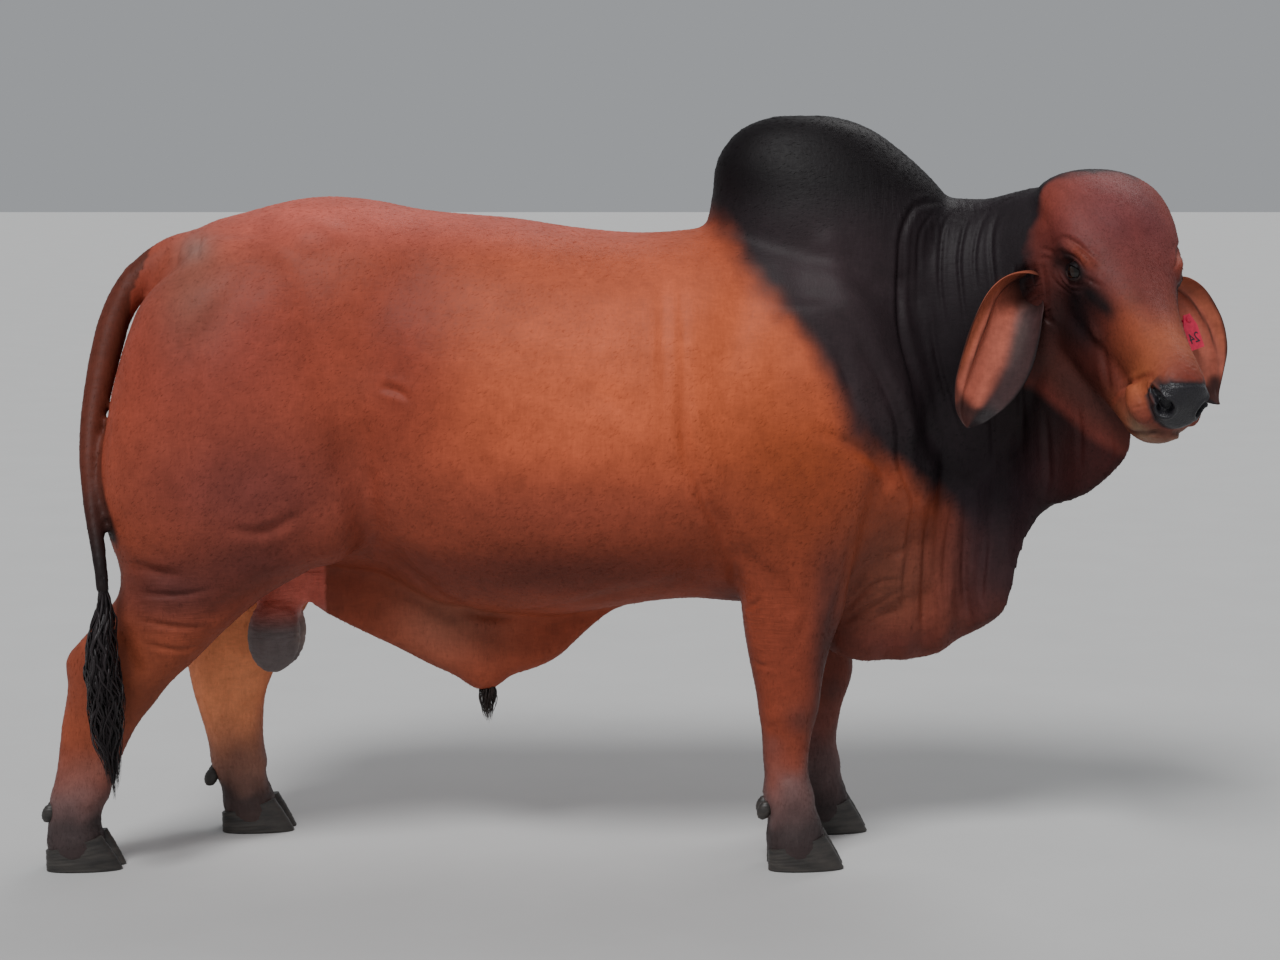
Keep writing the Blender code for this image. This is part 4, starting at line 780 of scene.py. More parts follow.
def dewlap():
    """A hanging curtain of skin that bends with the neck, with upright folds along it."""
    count = 30
    depth, spacing, lean, start = DEWLAP_FOLD
    rings = []
    for z, back, front, half in smooth_rows(DEWLAP, 34):
        part = 0.5 - 0.5 * np.cos(np.linspace(0, math.pi, count))
        x = back + (front - back) * part
        thick = half * (1.9 - 1.2 * part) * (1 - abs(2 * part - 1) ** 5) ** 0.5 + 0.002
        strength = np.clip((1.10 - z) / 0.4, 0.0, 1.0) * np.clip((x - start) / 0.15, 0.0, 1.0)
        fold = depth * strength * np.sin(2 * math.pi * (x - lean * z) / spacing)
        middle = dewlap_side(x) + fold
        near = np.stack([x, middle - thick, np.full(count, z)], axis=1)
        far = np.stack([x, middle + thick, np.full(count, z)], axis=1)
        rings.append(np.vstack([near, far[::-1]]))
    return loft("dewlap", rings)


def sheath():
    rings = []
    for x, top, bottom, half in smooth_rows(SHEATH, 34):
        rings.append(girth_ring(x, top, bottom, half, (top + bottom) / 2 - 0.05, 2.4, 20))
    return loft("sheath", rings)


def muscles():
    """Balls that stand for the muscle and bone that show through the hide."""
    made = []
    made += both_sides((0.46, 0.155, 1.12), (0.17, 0.120, 0.30), (0, -22, 0))
    made += both_sides((0.56, 0.120, 0.92), (0.13, 0.110, 0.15))
    made += both_sides((0.32, 0.200, 0.87), (0.15, 0.112, 0.20), (0, -18, 0))
    made += both_sides((-0.72, 0.150, 1.40), (0.11, 0.075, 0.085))
    made += both_sides((-0.70, 0.205, 0.87), (0.13, 0.10, 0.18), (0, 20, 0))
    made += both_sides((-1.00, 0.140, 1.14), (0.14, 0.13, 0.24))
    made.append(ellipsoid((-0.98, 0, 1.02), (0.15, 0.15, 0.36)))
    made.append(ellipsoid((-1.04, 0, 1.36), (0.08, 0.06, 0.07)))
    made.append(ellipsoid((0.48, 0, 0.72), (0.24, 0.14, 0.20)))
    return made


def skull_forms():
    """The head's masses in its own frame: skull, jaw, brows, cheeks, muzzle and lips."""
    made = [
        loft("skull", [girth_ring(*row, 2.1, 32) for row in smooth_rows(SKULL, 34)]),
        loft("jaw", [girth_ring(*row, 2.3, 28) for row in smooth_rows(JAW, 26)]),
        ellipsoid((-0.122, 0, 0.034), (0.140, 0.112, 0.076)),
        ellipsoid((0.330, 0, -0.045), (0.064, 0.054, 0.062)),
        ellipsoid((0.335, 0, -0.118), (0.045, 0.046, 0.038)),
    ]
    made += both_sides((0.003, 0.084, 0.020), (0.046, 0.030, 0.028), (0, 0, 8))
    made += both_sides((0.012, 0.087, -0.030), (0.050, 0.024, 0.022))
    made += both_sides((0.052, 0.058, -0.052), (0.096, 0.026, 0.026), (0, 12, -9))
    made += both_sides((-0.080, 0.086, -0.130), (0.090, 0.031, 0.085))
    made += both_sides((0.350, 0.032, -0.034), (0.034, 0.026, 0.034), (0, 0, -20))
    made += both_sides((0.318, 0.046, -0.082), (0.056, 0.030, 0.031), (0, 8, 0))
    made += both_sides((-0.125, 0.098, -0.020), (0.074, 0.044, 0.070))
    return made


def shape_body(points, normals):
    """Presses and raises the hide over the trunk, the neck and the limbs."""
    strokes = (
        (((-0.50, 1.36), (-0.58, 1.27), (-0.60, 1.18)), 0.085, -0.014),
        (((-0.50, 0.66), (-0.60, 0.74), (-0.63, 0.86), (-0.62, 1.00)), 0.045, -0.016),
        (((-0.86, 1.36), (-0.98, 1.20), (-1.02, 1.00), (-1.00, 0.84)), 0.035, -0.008),
        (((0.14, 0.68), (0.19, 0.80), (0.21, 0.95), (0.18, 1.15), (0.24, 1.35)), 0.050, -0.012),
        (((0.42, 1.42), (0.52, 1.20), (0.60, 1.02)), 0.035, 0.008),
        (((0.62, 1.30), (0.68, 1.10), (0.66, 0.90), (0.56, 0.76)), 0.045, -0.016),
        (((0.22, 0.74), (0.30, 0.68), (0.34, 0.62)), 0.022, -0.007),
        (((-0.72, 0.70), (-0.84, 0.67), (-0.95, 0.60)), 0.022, -0.008),
        (((-1.24, 0.62), (-1.16, 0.54), (-1.14, 0.48)), 0.022, -0.010),
        (((0.30, 0.33), (0.33, 0.22)), 0.014, -0.005),
    )
    for path, width, depth in strokes:
        side_stroke(points, normals, path, width, depth)


def foot_box(rows, steps, side):
    """Back, front, inner and outer reach of a leg's foot on the ground."""
    _, back, front, inner, outer = rows[-1]
    shift = step_at(steps, 0.0) if side == LEFT else 0.0
    return back + shift, front + shift, inner, outer


def coronet_height(x, back, front):
    heel, toe = CORONET
    return heel + (toe - heel) * (x - back) / (front - back)


def ear_path(side, count):
    """Points along an ear. Its root tips with the head, and the rest hangs straight down."""
    axis = smooth_rows(EAR_AXIS, count) * np.array([1, side, 1])
    axis[:, 2] += math.sin(HEAD_ROLL) * axis[:, 1] * np.linspace(*EAR_ROLL, count)
    axis[:, 1] -= side * EAR_TUCK[side] * np.sin(np.linspace(0, math.pi, count))
    return axis


def noise(points, size, seed):
    """Smooth random heights from -1 to 1 in space, with lumps of about the given size."""
    place = points / size + 1000.0
    cell = np.floor(place).astype(np.int64)
    part = place - cell
    part = part * part * (3 - 2 * part)
    total = np.zeros(len(points))
    for corner in range(8):
        step = np.array([corner & 1, corner >> 1 & 1, corner >> 2 & 1])
        key = (cell + step) @ np.array([73856093, 19349663, 83492791]) + seed * 7919
        key = (key ^ (key >> 13)) * 1274126177 & 0xFFFFFFFF
        key = (key ^ (key >> 16)) * 2246822519 & 0xFFFFFFFF
        height = (key >> 7 & 0xFFFF) / 32767.5 - 1.0
        weight = np.prod(np.where(step, part, 1 - part), axis=1)
        total += weight * height
    return total


def soft(values, low, high):
    """A smooth step from 0 to 1."""
    part = np.clip((values - low) / (high - low), 0, 1)
    return part * part * (3 - 2 * part)


def stroke_parts(places, path):
    """Each place's distance from a path, and how far along it that is, from 0 to 1."""
    runs = np.diff(path, axis=0)
    lengths = np.linalg.norm(runs, axis=1)
    best = np.full(len(places), np.inf)
    share = np.zeros(len(places))
    done = 0.0
    for start, run, length in zip(path[:-1], runs, lengths):
        along = np.clip((places - start) @ run / length**2, 0.0, 1.0)
        gap = np.linalg.norm(places - start - along[:, None] * run, axis=1)
        nearer = gap < best
        best[nearer] = gap[nearer]
        share[nearer] = (done + along[nearer] * length) / lengths.sum()
        done += length
    return best, share


def crease(move, places, facing, path, width, depth, lip=0.30):
    """Adds a valley with soft lips along a path to the surface's move. A negative depth is a roll."""
    path = np.asarray(path, float)
    path = smooth_rows(path, 4 * len(path))
    reach = 4.5 * width
    close = np.all((places > path.min(axis=0) - reach) & (places < path.max(axis=0) + reach), axis=1)
    index = np.nonzero(close & (facing > 0))[0]
    if len(index) == 0:
        return
    gap, share = stroke_parts(places[index], path)
    fade = np.sin(math.pi * np.clip(share, 0.01, 0.99)) ** 0.8
    valley = np.exp(-((gap / width) ** 2))
    lips = np.exp(-(((gap - 2.1 * width) / (1.1 * width)) ** 2))
    move[index] += depth * fade * facing[index] * (lip * lips - valley)


def flank_creases():
    """All side creases as path, width, depth and side, with the left limbs' paths stepped forward."""
    made = []
    for side in (RIGHT, LEFT):
        for path, width, depth in BODY_CREASES:
            if side == LEFT:
                steps = HIND_STEP if path[0][0] < -0.55 else FORE_STEP
                path = tuple((x + step_at(steps, z), z) for x, z in path)
            made.append((path, width, depth, side))
        for path, width, depth in NECK_CREASES + DEWLAP_CREASES:
            made.append((path, width, depth if side == RIGHT else 0.6 * depth, side))
    return made


def to_head(points):
    from_world = head_matrix().inverted()
    return points @ np.array(from_world.to_3x3()).T + np.array(from_world.translation)


def on_left(local):
    """Places in the head's frame, with those of its right half mirrored to the left."""
    return np.stack([local[:, 0], abs(local[:, 1]), local[:, 2]], axis=1)


def from_head(local):
    turned = head_matrix()
    return local @ np.array(turned.to_3x3()).T + np.array(turned.translation)


def set_points(mesh, points):
    mesh.vertices.foreach_set("co", points.astype(np.float32).ravel())
    mesh.update()


def refine(thing, chosen):
    """Halves the cells whose corners are all chosen."""
    work = bmesh.new()
    work.from_mesh(thing.data)
    edges = set()
    for face in work.faces:
        if all(chosen[vert.index] for vert in face.verts):
            edges.update(face.edges)
    bmesh.ops.subdivide_edges(work, edges=list(edges), cuts=1, use_grid_fill=True)
    work.to_mesh(thing.data)
    work.free()


def legs_only(rows, low):
    """A leg's levels with the last one raised to the hoof's inside."""
    _, back, front, inner, outer = rows[-1]
    return (*rows[:-1], (low, back + 0.006, front - 0.010, inner + 0.008, outer - 0.008))


def near_fine_forms(points):
    """Where the skin needs cells of half the size."""
    local = to_head(points)
    head = (local[:, 0] > -0.26) & (abs(local[:, 1]) < 0.17) & (local[:, 2] > -0.27)
    neck_side = (points[:, 0] > 0.56) & (points[:, 2] > 0.45)
    bag = (abs(points[:, 0] + 0.84) < 0.10) & (abs(points[:, 1]) < 0.10) & (points[:, 2] < 0.70)
    bag &= points[:, 2] > 0.38
    chosen = head | neck_side | bag
    for path, width, _, side in flank_creases():
        path = np.asarray(path, float)
        reach = 3.4 * width
        box = np.all(
            (points[:, [0, 2]] > path.min(axis=0) - reach) & (points[:, [0, 2]] < path.max(axis=0) + reach),
            axis=1,
        )
        index = np.nonzero(box & (side * points[:, 1] > 0.0))[0]
        if len(index):
            gap, _ = stroke_parts(points[index][:, [0, 2]], path)
            chosen[index[gap < reach]] = True
    return chosen


def near_face(points):
    """Where the eyes and the muzzle need cells of a quarter of the size."""
    local = to_head(points)
    mirrored = local * np.array([1, -1, 1])
    place = np.array([EYE_PLACE[0] - 0.005, EYE_PLACE[1] + 0.012, EYE_PLACE[2]])
    eye = np.minimum(
        np.linalg.norm(local - place, axis=1), np.linalg.norm(mirrored - place, axis=1)
    )
    muzzle = (local[:, 0] > 0.285) & (local[:, 2] > -0.20)
    return (eye < 0.060) | muzzle


def scrotum_forms():
    return [
        ellipsoid((-0.846, 0.036, 0.510), (0.066, 0.050, 0.094), (0, 4, 0)),
        ellipsoid((-0.850, -0.036, 0.515), (0.066, 0.050, 0.094), (0, 4, 0)),
        ellipsoid((-0.838, 0, 0.630), (0.066, 0.056, 0.110)),
        ellipsoid((-0.826, 0, 0.700), (0.080, 0.066, 0.060)),
    ]


def skin_shape():
    """The whole hide as one closed surface, from the same forms as the solids."""
    head_parts = join(skull_forms())
    head_parts.data.transform(head_matrix())
    tail = loft("tail", tube_rings(smooth_rows(TAIL, 44), count=20, up=Vector((0, 1, 0))))
    parts = [trunk(), hump(), neck(), dewlap(), sheath(), head_parts, tail, *muscles()]
    parts += scrotum_forms()
    for side in (RIGHT, LEFT):
        parts.append(leg(legs_only(HIND, 0.022), HIND_STEP, side, 46))
        parts.append(leg(legs_only(FORE, 0.022), FORE_STEP, side, 42))
    whole = join(parts)
    remesh(whole, SKIN_VOXEL)
    points, _ = vertex_arrays(whole.data)
    local = to_head(points)
    head = (local[:, 0] > -0.24) & (abs(local[:, 1]) < 0.16) & (local[:, 2] > -0.25)
    rear = points[:, 0] < -1.10
    hanging = rear & (points[:, 1] < 0.02 - 0.5 * np.clip(1.20 - points[:, 2], 0, 0.3))
    hanging &= (points[:, 2] > 0.66) & (points[:, 0] < -1.17)
    broad = ~head & (points[:, 2] > 0.62) & (points[:, 0] < 0.80) & ~hanging
    relax(whole, 30, broad)
    relax(whole, 5, ~hanging)
    relax(whole, 1, hanging)
    keep_largest(whole)
    points, normals = vertex_arrays(whole.data)
    shape_body(points, normals)
    set_points(whole.data, points)
    for chooser in (near_fine_forms, near_face):
        points, _ = vertex_arrays(whole.data)
        chosen = chooser(points)
        refine(whole, chosen)
        points, _ = vertex_arrays(whole.data)
        relax(whole, 3, chooser(points))
    return whole


def upright_wrinkles(points, normals):
    """Fine uneven folds that hang down the neck, the throat and the dewlap."""
    x, y, z = points.T
    facing = abs(normals[:, 1]) ** 0.5
    on_neck = np.clip((x - 0.52) / 0.12, 0, 1) * np.clip((1.60 - z) / 0.10, 0, 1)
    local = to_head(points)
    on_neck *= np.clip((-0.20 - local[:, 0]) / 0.06 + 0.2, 0, 1) * facing
    lean = x + 0.10 * (z - 1.2) + 0.012 * noise(points, 0.11, 3)
    streak = noise(np.stack([lean, y * 0.5, z * 0.16], axis=1), 0.020, 5)
    finer = noise(np.stack([lean, y * 0.5, z * 0.20], axis=1), 0.010, 6)
    patch = np.clip(0.55 + 0.9 * noise(points, 0.16, 8), 0.15, 1.2)
    return -on_neck * patch * (0.0013 * (1 - abs(streak)) ** 4 + 0.0011 * (1 - abs(finer)) ** 4)


def bag_wrinkles(points):
    """Fine level wrinkles of the scrotum."""
    x, y, z = points.T
    bag = np.clip((0.10 - np.hypot(x + 0.84, y)) / 0.02, 0, 1) * np.clip((0.64 - z) / 0.06, 0, 1)
    bag *= np.clip((z - 0.40) / 0.02, 0, 1)
    ring = noise(np.stack([x * 0.3, y * 0.3, z + 0.008 * noise(points, 0.03, 4)], axis=1), 0.009, 7)
    return -bag * 0.0022 * (1 - abs(ring)) ** 2


def eye_frame(local):
    """Each point's place round an eye: almond distance, 1 on the lid's rim, across and up."""
    x = local[:, 0] - EYE_PLACE[0]
    z = local[:, 2] - EYE_PLACE[2]
    tilt = math.radians(LID_TILT)
    across = x * math.cos(tilt) + z * math.sin(tilt)
    up = -x * math.sin(tilt) + z * math.cos(tilt)
    return np.hypot(across / LID_HALF[0], up / LID_HALF[1]), across, up


def press_lids(local):
    """Wraps the lids round each eyeball and opens the almond between them."""
    for side in (RIGHT, LEFT):
        close = np.linalg.norm(local - (EYE_PLACE[0], side * LID_FRONT, EYE_PLACE[2]), axis=1)
        index = np.nonzero((close < 0.075) & (side * local[:, 1] > 0.05))[0]
        spot = local[index]
        almond, _, up = eye_frame(spot)
        off = (spot - np.array([EYE_PLACE[0], side * EYE_PLACE[1], EYE_PLACE[2]])) * HEAD_SCALE
        flat = np.hypot(off[:, 0], off[:, 2])
        proud = EYE_RADIUS + EYE_LID_PROUD
        ball = np.sqrt(np.maximum(proud**2 - flat**2, (0.42 * proud) ** 2)) / HEAD_SCALE[1]
        rim = EYE_PLACE[1] + ball
        out = side * spot[:, 1]
        out = out + (rim - out) * soft(-almond, -2.3, -1.15)
        upper = np.clip(up / LID_HALF[1], 0, 1) ** 0.5
        out += 0.0022 * upper * np.exp(-(((almond - 1.22) / 0.20) ** 2))
        out += 0.0012 * (1 - upper) * np.exp(-(((almond - 1.25) / 0.18) ** 2))
        out -= EYE_OPENING_DEPTH * soft(-almond, -1.0, -0.86)
        spot[:, 1] = side * out
        local[index] = spot
    return local


def press_nostrils(local, normals):
    """Presses both nostrils in towards the head's middle."""
    for side in (RIGHT, LEFT):
        depth = np.zeros(len(local))
        for (x, y, z), radii in NOSTRIL:
            off = (local - np.array([x, side * y, z])) / np.array(radii)
            reach = np.linalg.norm(off, axis=1)
            depth = np.maximum(depth, soft(-reach, -1.08, -0.66))
            rim = np.exp(-(((reach - 1.28) / 0.20) ** 2)) * 0.0022
            local += normals * (rim * (depth < 0.05))[:, None]
        inward = np.array([-0.92, -0.36 * side, -0.12])
        local += inward * (NOSTRIL_DEPTH * depth)[:, None]
    return local


def in_nose_pad(local):
    """How far inside the nose pad's outline each point is, in metres, negative outside."""
    outline = np.array(NOSE_PAD + tuple((-y, z) for y, z in NOSE_PAD[-2:0:-1]))
    y, z = local[:, 1], local[:, 2]
    best = np.full(len(local), np.inf)
    inside = np.zeros(len(local), bool)
    for (y1, z1), (y2, z2) in zip(outline, np.roll(outline, -1, axis=0)):
        run = np.array([y2 - y1, z2 - z1])
        along = np.clip(((y - y1) * run[0] + (z - z1) * run[1]) / (run @ run), 0, 1)
        best = np.minimum(best, np.hypot(y - y1 - along * run[0], z - z1 - along * run[1]))
        crosses = (z1 > z) != (z2 > z)
        with np.errstate(divide="ignore", invalid="ignore"):
            inside ^= crosses & (y < (y2 - y1) * (z - z1) / (z2 - z1) + y1)
    front = np.clip((local[:, 0] - NOSE_BACK) / 0.004, -1, 1)
    return np.minimum(np.where(inside, best, -best), 0.01 * front)


def ear_stations(side, count):
    """An ear's stations: place, the ways across it and out of its cup, radius, half curl, part."""
    axis = ear_path(side, count)
    run = np.concatenate([[0], np.cumsum(np.linalg.norm(np.diff(axis, axis=0), axis=1))])
    table = smooth_rows(np.array(EAR_LEAF), 60)
    made = []
    for place, direction, part in zip(axis, np.gradient(axis, axis=0), run / run[-1]):
        width, curl, thick = (np.interp(part, table[:, 0], table[:, column]) for column in (1, 2, 3))
        tip = max(0.0, (part - 0.93) / 0.07)
        width *= math.sqrt(max(0.02, 1 - tip**2))
        curl = math.radians(curl)
        radius = width / (2 * math.sin(min(curl, math.pi / 2)))
        tangent = Vector(direction).normalized()
        opens = Vector((EAR_OPENS[0], side * EAR_OPENS[1], EAR_OPENS[2]))
        opens = (opens - tangent * opens.dot(tangent)).normalized()
        made.append((place, tangent.cross(opens), opens, radius, curl, thick, part))
    return made


def press_ear_roots(points):
    """Presses the hide back behind the cup of each ear, so that the cup opens clear of the head."""
    frame = level_head_matrix()
    turn = np.array(frame.to_3x3())
    origin = np.array(frame.translation)
    local = (points - origin) @ turn
    for side in (RIGHT, LEFT):
        stations = ear_stations(side, 40)
        places = np.array([station[0] for station in stations])
        index = np.nonzero(np.linalg.norm(local - places[12], axis=1) < 0.26)[0]
        spots = local[index]
        nearest = np.argmin(np.linalg.norm(spots[:, None] - places[None], axis=2), axis=1)
        wides = np.array([station[1] for station in stations])[nearest]
        opens = np.array([station[2] for station in stations])[nearest]
        radius, curl, part = (np.array([row[column] for row in stations])[nearest] for column in (3, 4, 6))
        off = spots - places[nearest]
        across = np.sum(off * wides, axis=1)
        out = np.sum(off * opens, axis=1)
        half = radius * np.sin(np.minimum(curl, math.pi / 2))
        inner = np.minimum(abs(across), 0.97 * half)
        cup = 0.6 * radius - np.sqrt(np.maximum(radius**2 - inner**2, 0.0)) - EAR_CLEAR
        share = soft(-abs(across) / half, -1.75, -1.02) * soft(part, 0.06, 0.16) * soft(-out, -0.13, -0.085)
        share *= soft(-part, -0.98, -0.85)
        move = np.minimum(cup - out, 0.0) * share
        local[index] = spots + opens * move[:, None]
    return local @ turn.T + origin


def fit_coronets(points):
    """Draw the hide at the foot of each leg out to the top of its claws."""
    for rows, steps in ((FORE, FORE_STEP), (HIND, HIND_STEP)):
        for side in (RIGHT, LEFT):
            back, front, inner, outer = foot_box(rows, steps, side)
            low, high = sorted((side * inner, side * outer))
            near = (points[:, 2] < CORONET_RISE) & (points[:, 0] > back - 0.08)
            near &= (points[:, 0] < front + 0.08) & (points[:, 1] > low - 0.05) & (points[:, 1] < high + 0.05)
            share = soft(-points[near][:, 2], -CORONET_RISE, -CORONET_FULL)
            ring = points[near & (points[:, 2] < CORONET_FULL)]
            for axis, start, end in ((0, back, front), (1, low, high)):
                spread = np.percentile(ring[:, axis], (2, 98))
                middle = (start + end) / 2
                factor = (end - start + 2 * CORONET_PROUD) / (spread[1] - spread[0])
                offset = points[near, axis] - spread.mean()
                target = middle + offset * factor
                points[near, axis] += (target - points[near, axis]) * share
    return points


def on_surface(spots, path):
    """The path with each of its places moved to the nearest point of the hide."""
    gaps = np.linalg.norm(spots[:, None] - path[None], axis=2)
    return spots[np.argmin(gaps, axis=0)]


def sculpt(skin):
    """Folds, wrinkles, lids, nostrils and lips on the smooth hide."""
    mesh = skin.data
    points, normals = vertex_arrays(mesh)
    move = np.full(len(points), -COAT_DEPTH)
    flat = points[:, [0, 2]]
    for path, width, depth, side in flank_creases():
        facing = np.clip(side * normals[:, 1], 0, 1) ** 0.5 * (side * points[:, 1] > -0.40)
        if path[0][0] < 0.56:
            facing = facing * (side * points[:, 1] > 0.0)
        crease(move, flat, facing, path, width, depth)
    move += upright_wrinkles(points, normals) + bag_wrinkles(points)
    move += 0.0022 * noise(points, 0.16, 12) * soft(points[:, 2], 0.45, 0.65)
    points += normals * move[:, None]
    local = to_head(points)
    head = np.nonzero((local[:, 0] > -0.30) & (local[:, 2] > -0.30) & (abs(local[:, 1]) < 0.20))[0]
    set_points(mesh, points)
    _, normals = vertex_arrays(mesh)
    spots = local[head]
    turn = np.array(head_matrix().inverted().to_3x3())
    ways = normals[head] @ turn.T
    spots = press_lids(spots)
    move = np.zeros(len(spots))
    everywhere = np.ones(len(spots))
    for forms, sign, lip in ((HEAD_CREASES, 1, 0.35), (HEAD_ROLLS, -1, 0.0)):
        for path, width, depth in forms:
            for side in (RIGHT, LEFT):
                turned = on_surface(spots, np.array(path) * np.array([1, -side, 1]))
                crease(move, spots, everywhere, turned, width, sign * depth, lip)
    crease(move, spots, everywhere, MOUTH_LINE, MOUTH_WIDTH, MOUTH_DEPTH, 0.25)
    pad = in_nose_pad(spots)
    front = spots[:, 0] > NOSE_BACK - 0.02
    move += front * (0.0016 * np.clip(pad / 0.005, 0, 1) - 0.0020 * np.exp(-((pad / 0.0022) ** 2)))
    chin = (spots[:, 0] > 0.30) & (pad < -0.004)
    move += chin * 0.0007 * noise(spots, 0.006, 15)
    spots += ways * move[:, None]
    spots = press_nostrils(spots, ways)
    points[head] = from_head(spots)
    set_points(mesh, fit_coronets(press_ear_roots(points)))
    relax(skin, 2, (local[:, 0] > 0.30) & (local[:, 2] < -0.095) & (local[:, 2] > -0.24))


def mixed(colours, target, share):
    share = np.clip(share, 0, 1)[:, None]
    return colours * (1 - share) + np.array(target) * share


def blob(points, place, radii, power=2.0):
    """A soft weight, 1 at a place and fading out by its radii; a radius of None has no limit."""
    total = np.zeros(len(points))
    for axis, (middle, radius) in enumerate(zip(place, radii)):
        if radius is not None:
            total += abs((points[:, axis] - middle) / radius) ** power
    return np.exp(-total)


# Soft patches of the body in linear colour: place, radii, colour and share; three of them are painted shade.
BODY_TONES = (
    ((-0.05, 0, 1.12), (0.48, None, 0.26), (0.600, 0.125, 0.050), 0.88),
    ((0.22, 0, 1.16), (0.20, None, 0.22), (0.580, 0.122, 0.046), 0.82),
    ((0.34, 0, 0.90), (0.16, None, 0.20), (0.215, 0.042, 0.012), 0.85),
    ((-0.95, 0, 1.22), (0.34, None, 0.24), (0.260, 0.048, 0.034), 0.80),
    ((-0.85, 0, 0.88), (0.28, None, 0.16), (0.160, 0.040, 0.034), 0.85),
    # Painted shade: a darker patch in the hollow before the hip.
    ((-0.52, 0, 1.20), (0.12, None, 0.26), (0.205, 0.034, 0.021), 0.75),
    ((-0.20, 0, 0.84), (0.46, None, 0.10), (0.250, 0.054, 0.032), 0.75),
    # Painted shade: the belly darkens where it turns under.
    ((-0.20, 0, 0.70), (0.46, None, 0.08), (0.115, 0.026, 0.017), 0.90),
    ((-1.15, 0, 0.40), (0.24, None, 0.26), (0.235, 0.062, 0.030), 0.75),
    # Painted shade: a dark band at the crease between thigh and gaskin.
    ((-1.04, 0, 0.66), (0.17, None, 0.085), (0.082, 0.025, 0.024), 0.85),
    ((-0.86, 0, 0.72), (0.12, None, 0.06), (0.110, 0.030, 0.026), 0.70),
    ((0.36, 0, 0.50), (0.20, None, 0.24), (0.210, 0.042, 0.023), 0.70),
    ((-0.45, 0, 0.55), (0.14, 0.10, 0.12), (0.25, 0.130, 0.090), 0.50),
    ((0.58, 0, 0.66), (0.11, None, 0.16), (0.300, 0.088, 0.046), 0.80),
    ((0.60, 0, 0.49), (0.16, None, 0.05), (0.170, 0.034, 0.022), 0.80),
)
# Height and x of the edge between the dark forequarter and the red body, and half its width
DARK_EDGE_HALF = 0.055
DARK_EDGE = (
    (0.30, 1.40), (0.599, 0.86), (0.76, 0.78), (0.90, 0.62), (0.978, 0.50), (1.090, 0.425),
    (1.242, 0.335), (1.391, 0.223), (1.480, 0.150), (1.60, 0.100), (1.80, 0.100),
)


def body_tones(points):
    """The hide's colours away from the head, with some painted shade and painted sheen among them."""
    x, _, z = points.T
    colours = np.tile(np.array(COAT_RED), (len(points), 1))
    for place, radii, colour, share in BODY_TONES:
        colours = mixed(colours, colour, share * blob(points, place, radii))
    # Painted sheen: the top of the back and loin is paler and pinker, standing in for the sky's reflection on
    # the hair.
    back = soft(z, 1.38, 1.50) * soft(-x, -0.15, 0.05)
    colours = mixed(colours, (0.500, 0.112, 0.085), 0.75 * back)
    edge = np.interp(z, *zip(*DARK_EDGE))
    ragged = 0.030 * noise(points, 0.11, 21) + 0.012 * noise(points, 0.03, 22)
    dark = soft(x - edge + ragged, -DARK_EDGE_HALF, DARK_EDGE_HALF)
    colours = mixed(colours, (0.0125, 0.0085, 0.0105), dark)
    sheen = blob(points, (0.42, 0, 1.36), (0.16, None, 0.14))
    sheen += blob(points, (0.48, 0, 1.08), (0.12, None, 0.16))
    colours = mixed(colours, (0.040, 0.025, 0.028), 0.75 * sheen * dark)
    throat = blob(points, (1.02, 0, 0.95), (0.15, None, 0.15))
    colours = mixed(colours, (0.046, 0.009, 0.008), 0.85 * throat)
    # Painted shadow: the neck under the jaw is made nearly black where the head shades it.
    painted_jaw_shadow = blob(points, (0.88, 0, 1.10), (0.10, None, 0.16), 3.0)
    colours = mixed(colours, (0.010, 0.005, 0.005), 0.85 * painted_jaw_shadow)
    hanging = blob(points, (0.80, 0, 0.74), (0.095, None, 0.26), 3.0)
    colours = mixed(colours, (0.019, 0.0110, 0.0150), 0.90 * hanging)
    hump_top = soft(z, 1.46, 1.58) * (x > 0.05) * (x < 0.72)
    colours = mixed(colours, (0.0040, 0.0022, 0.0030), hump_top)
    return limb_tones(points, colours)


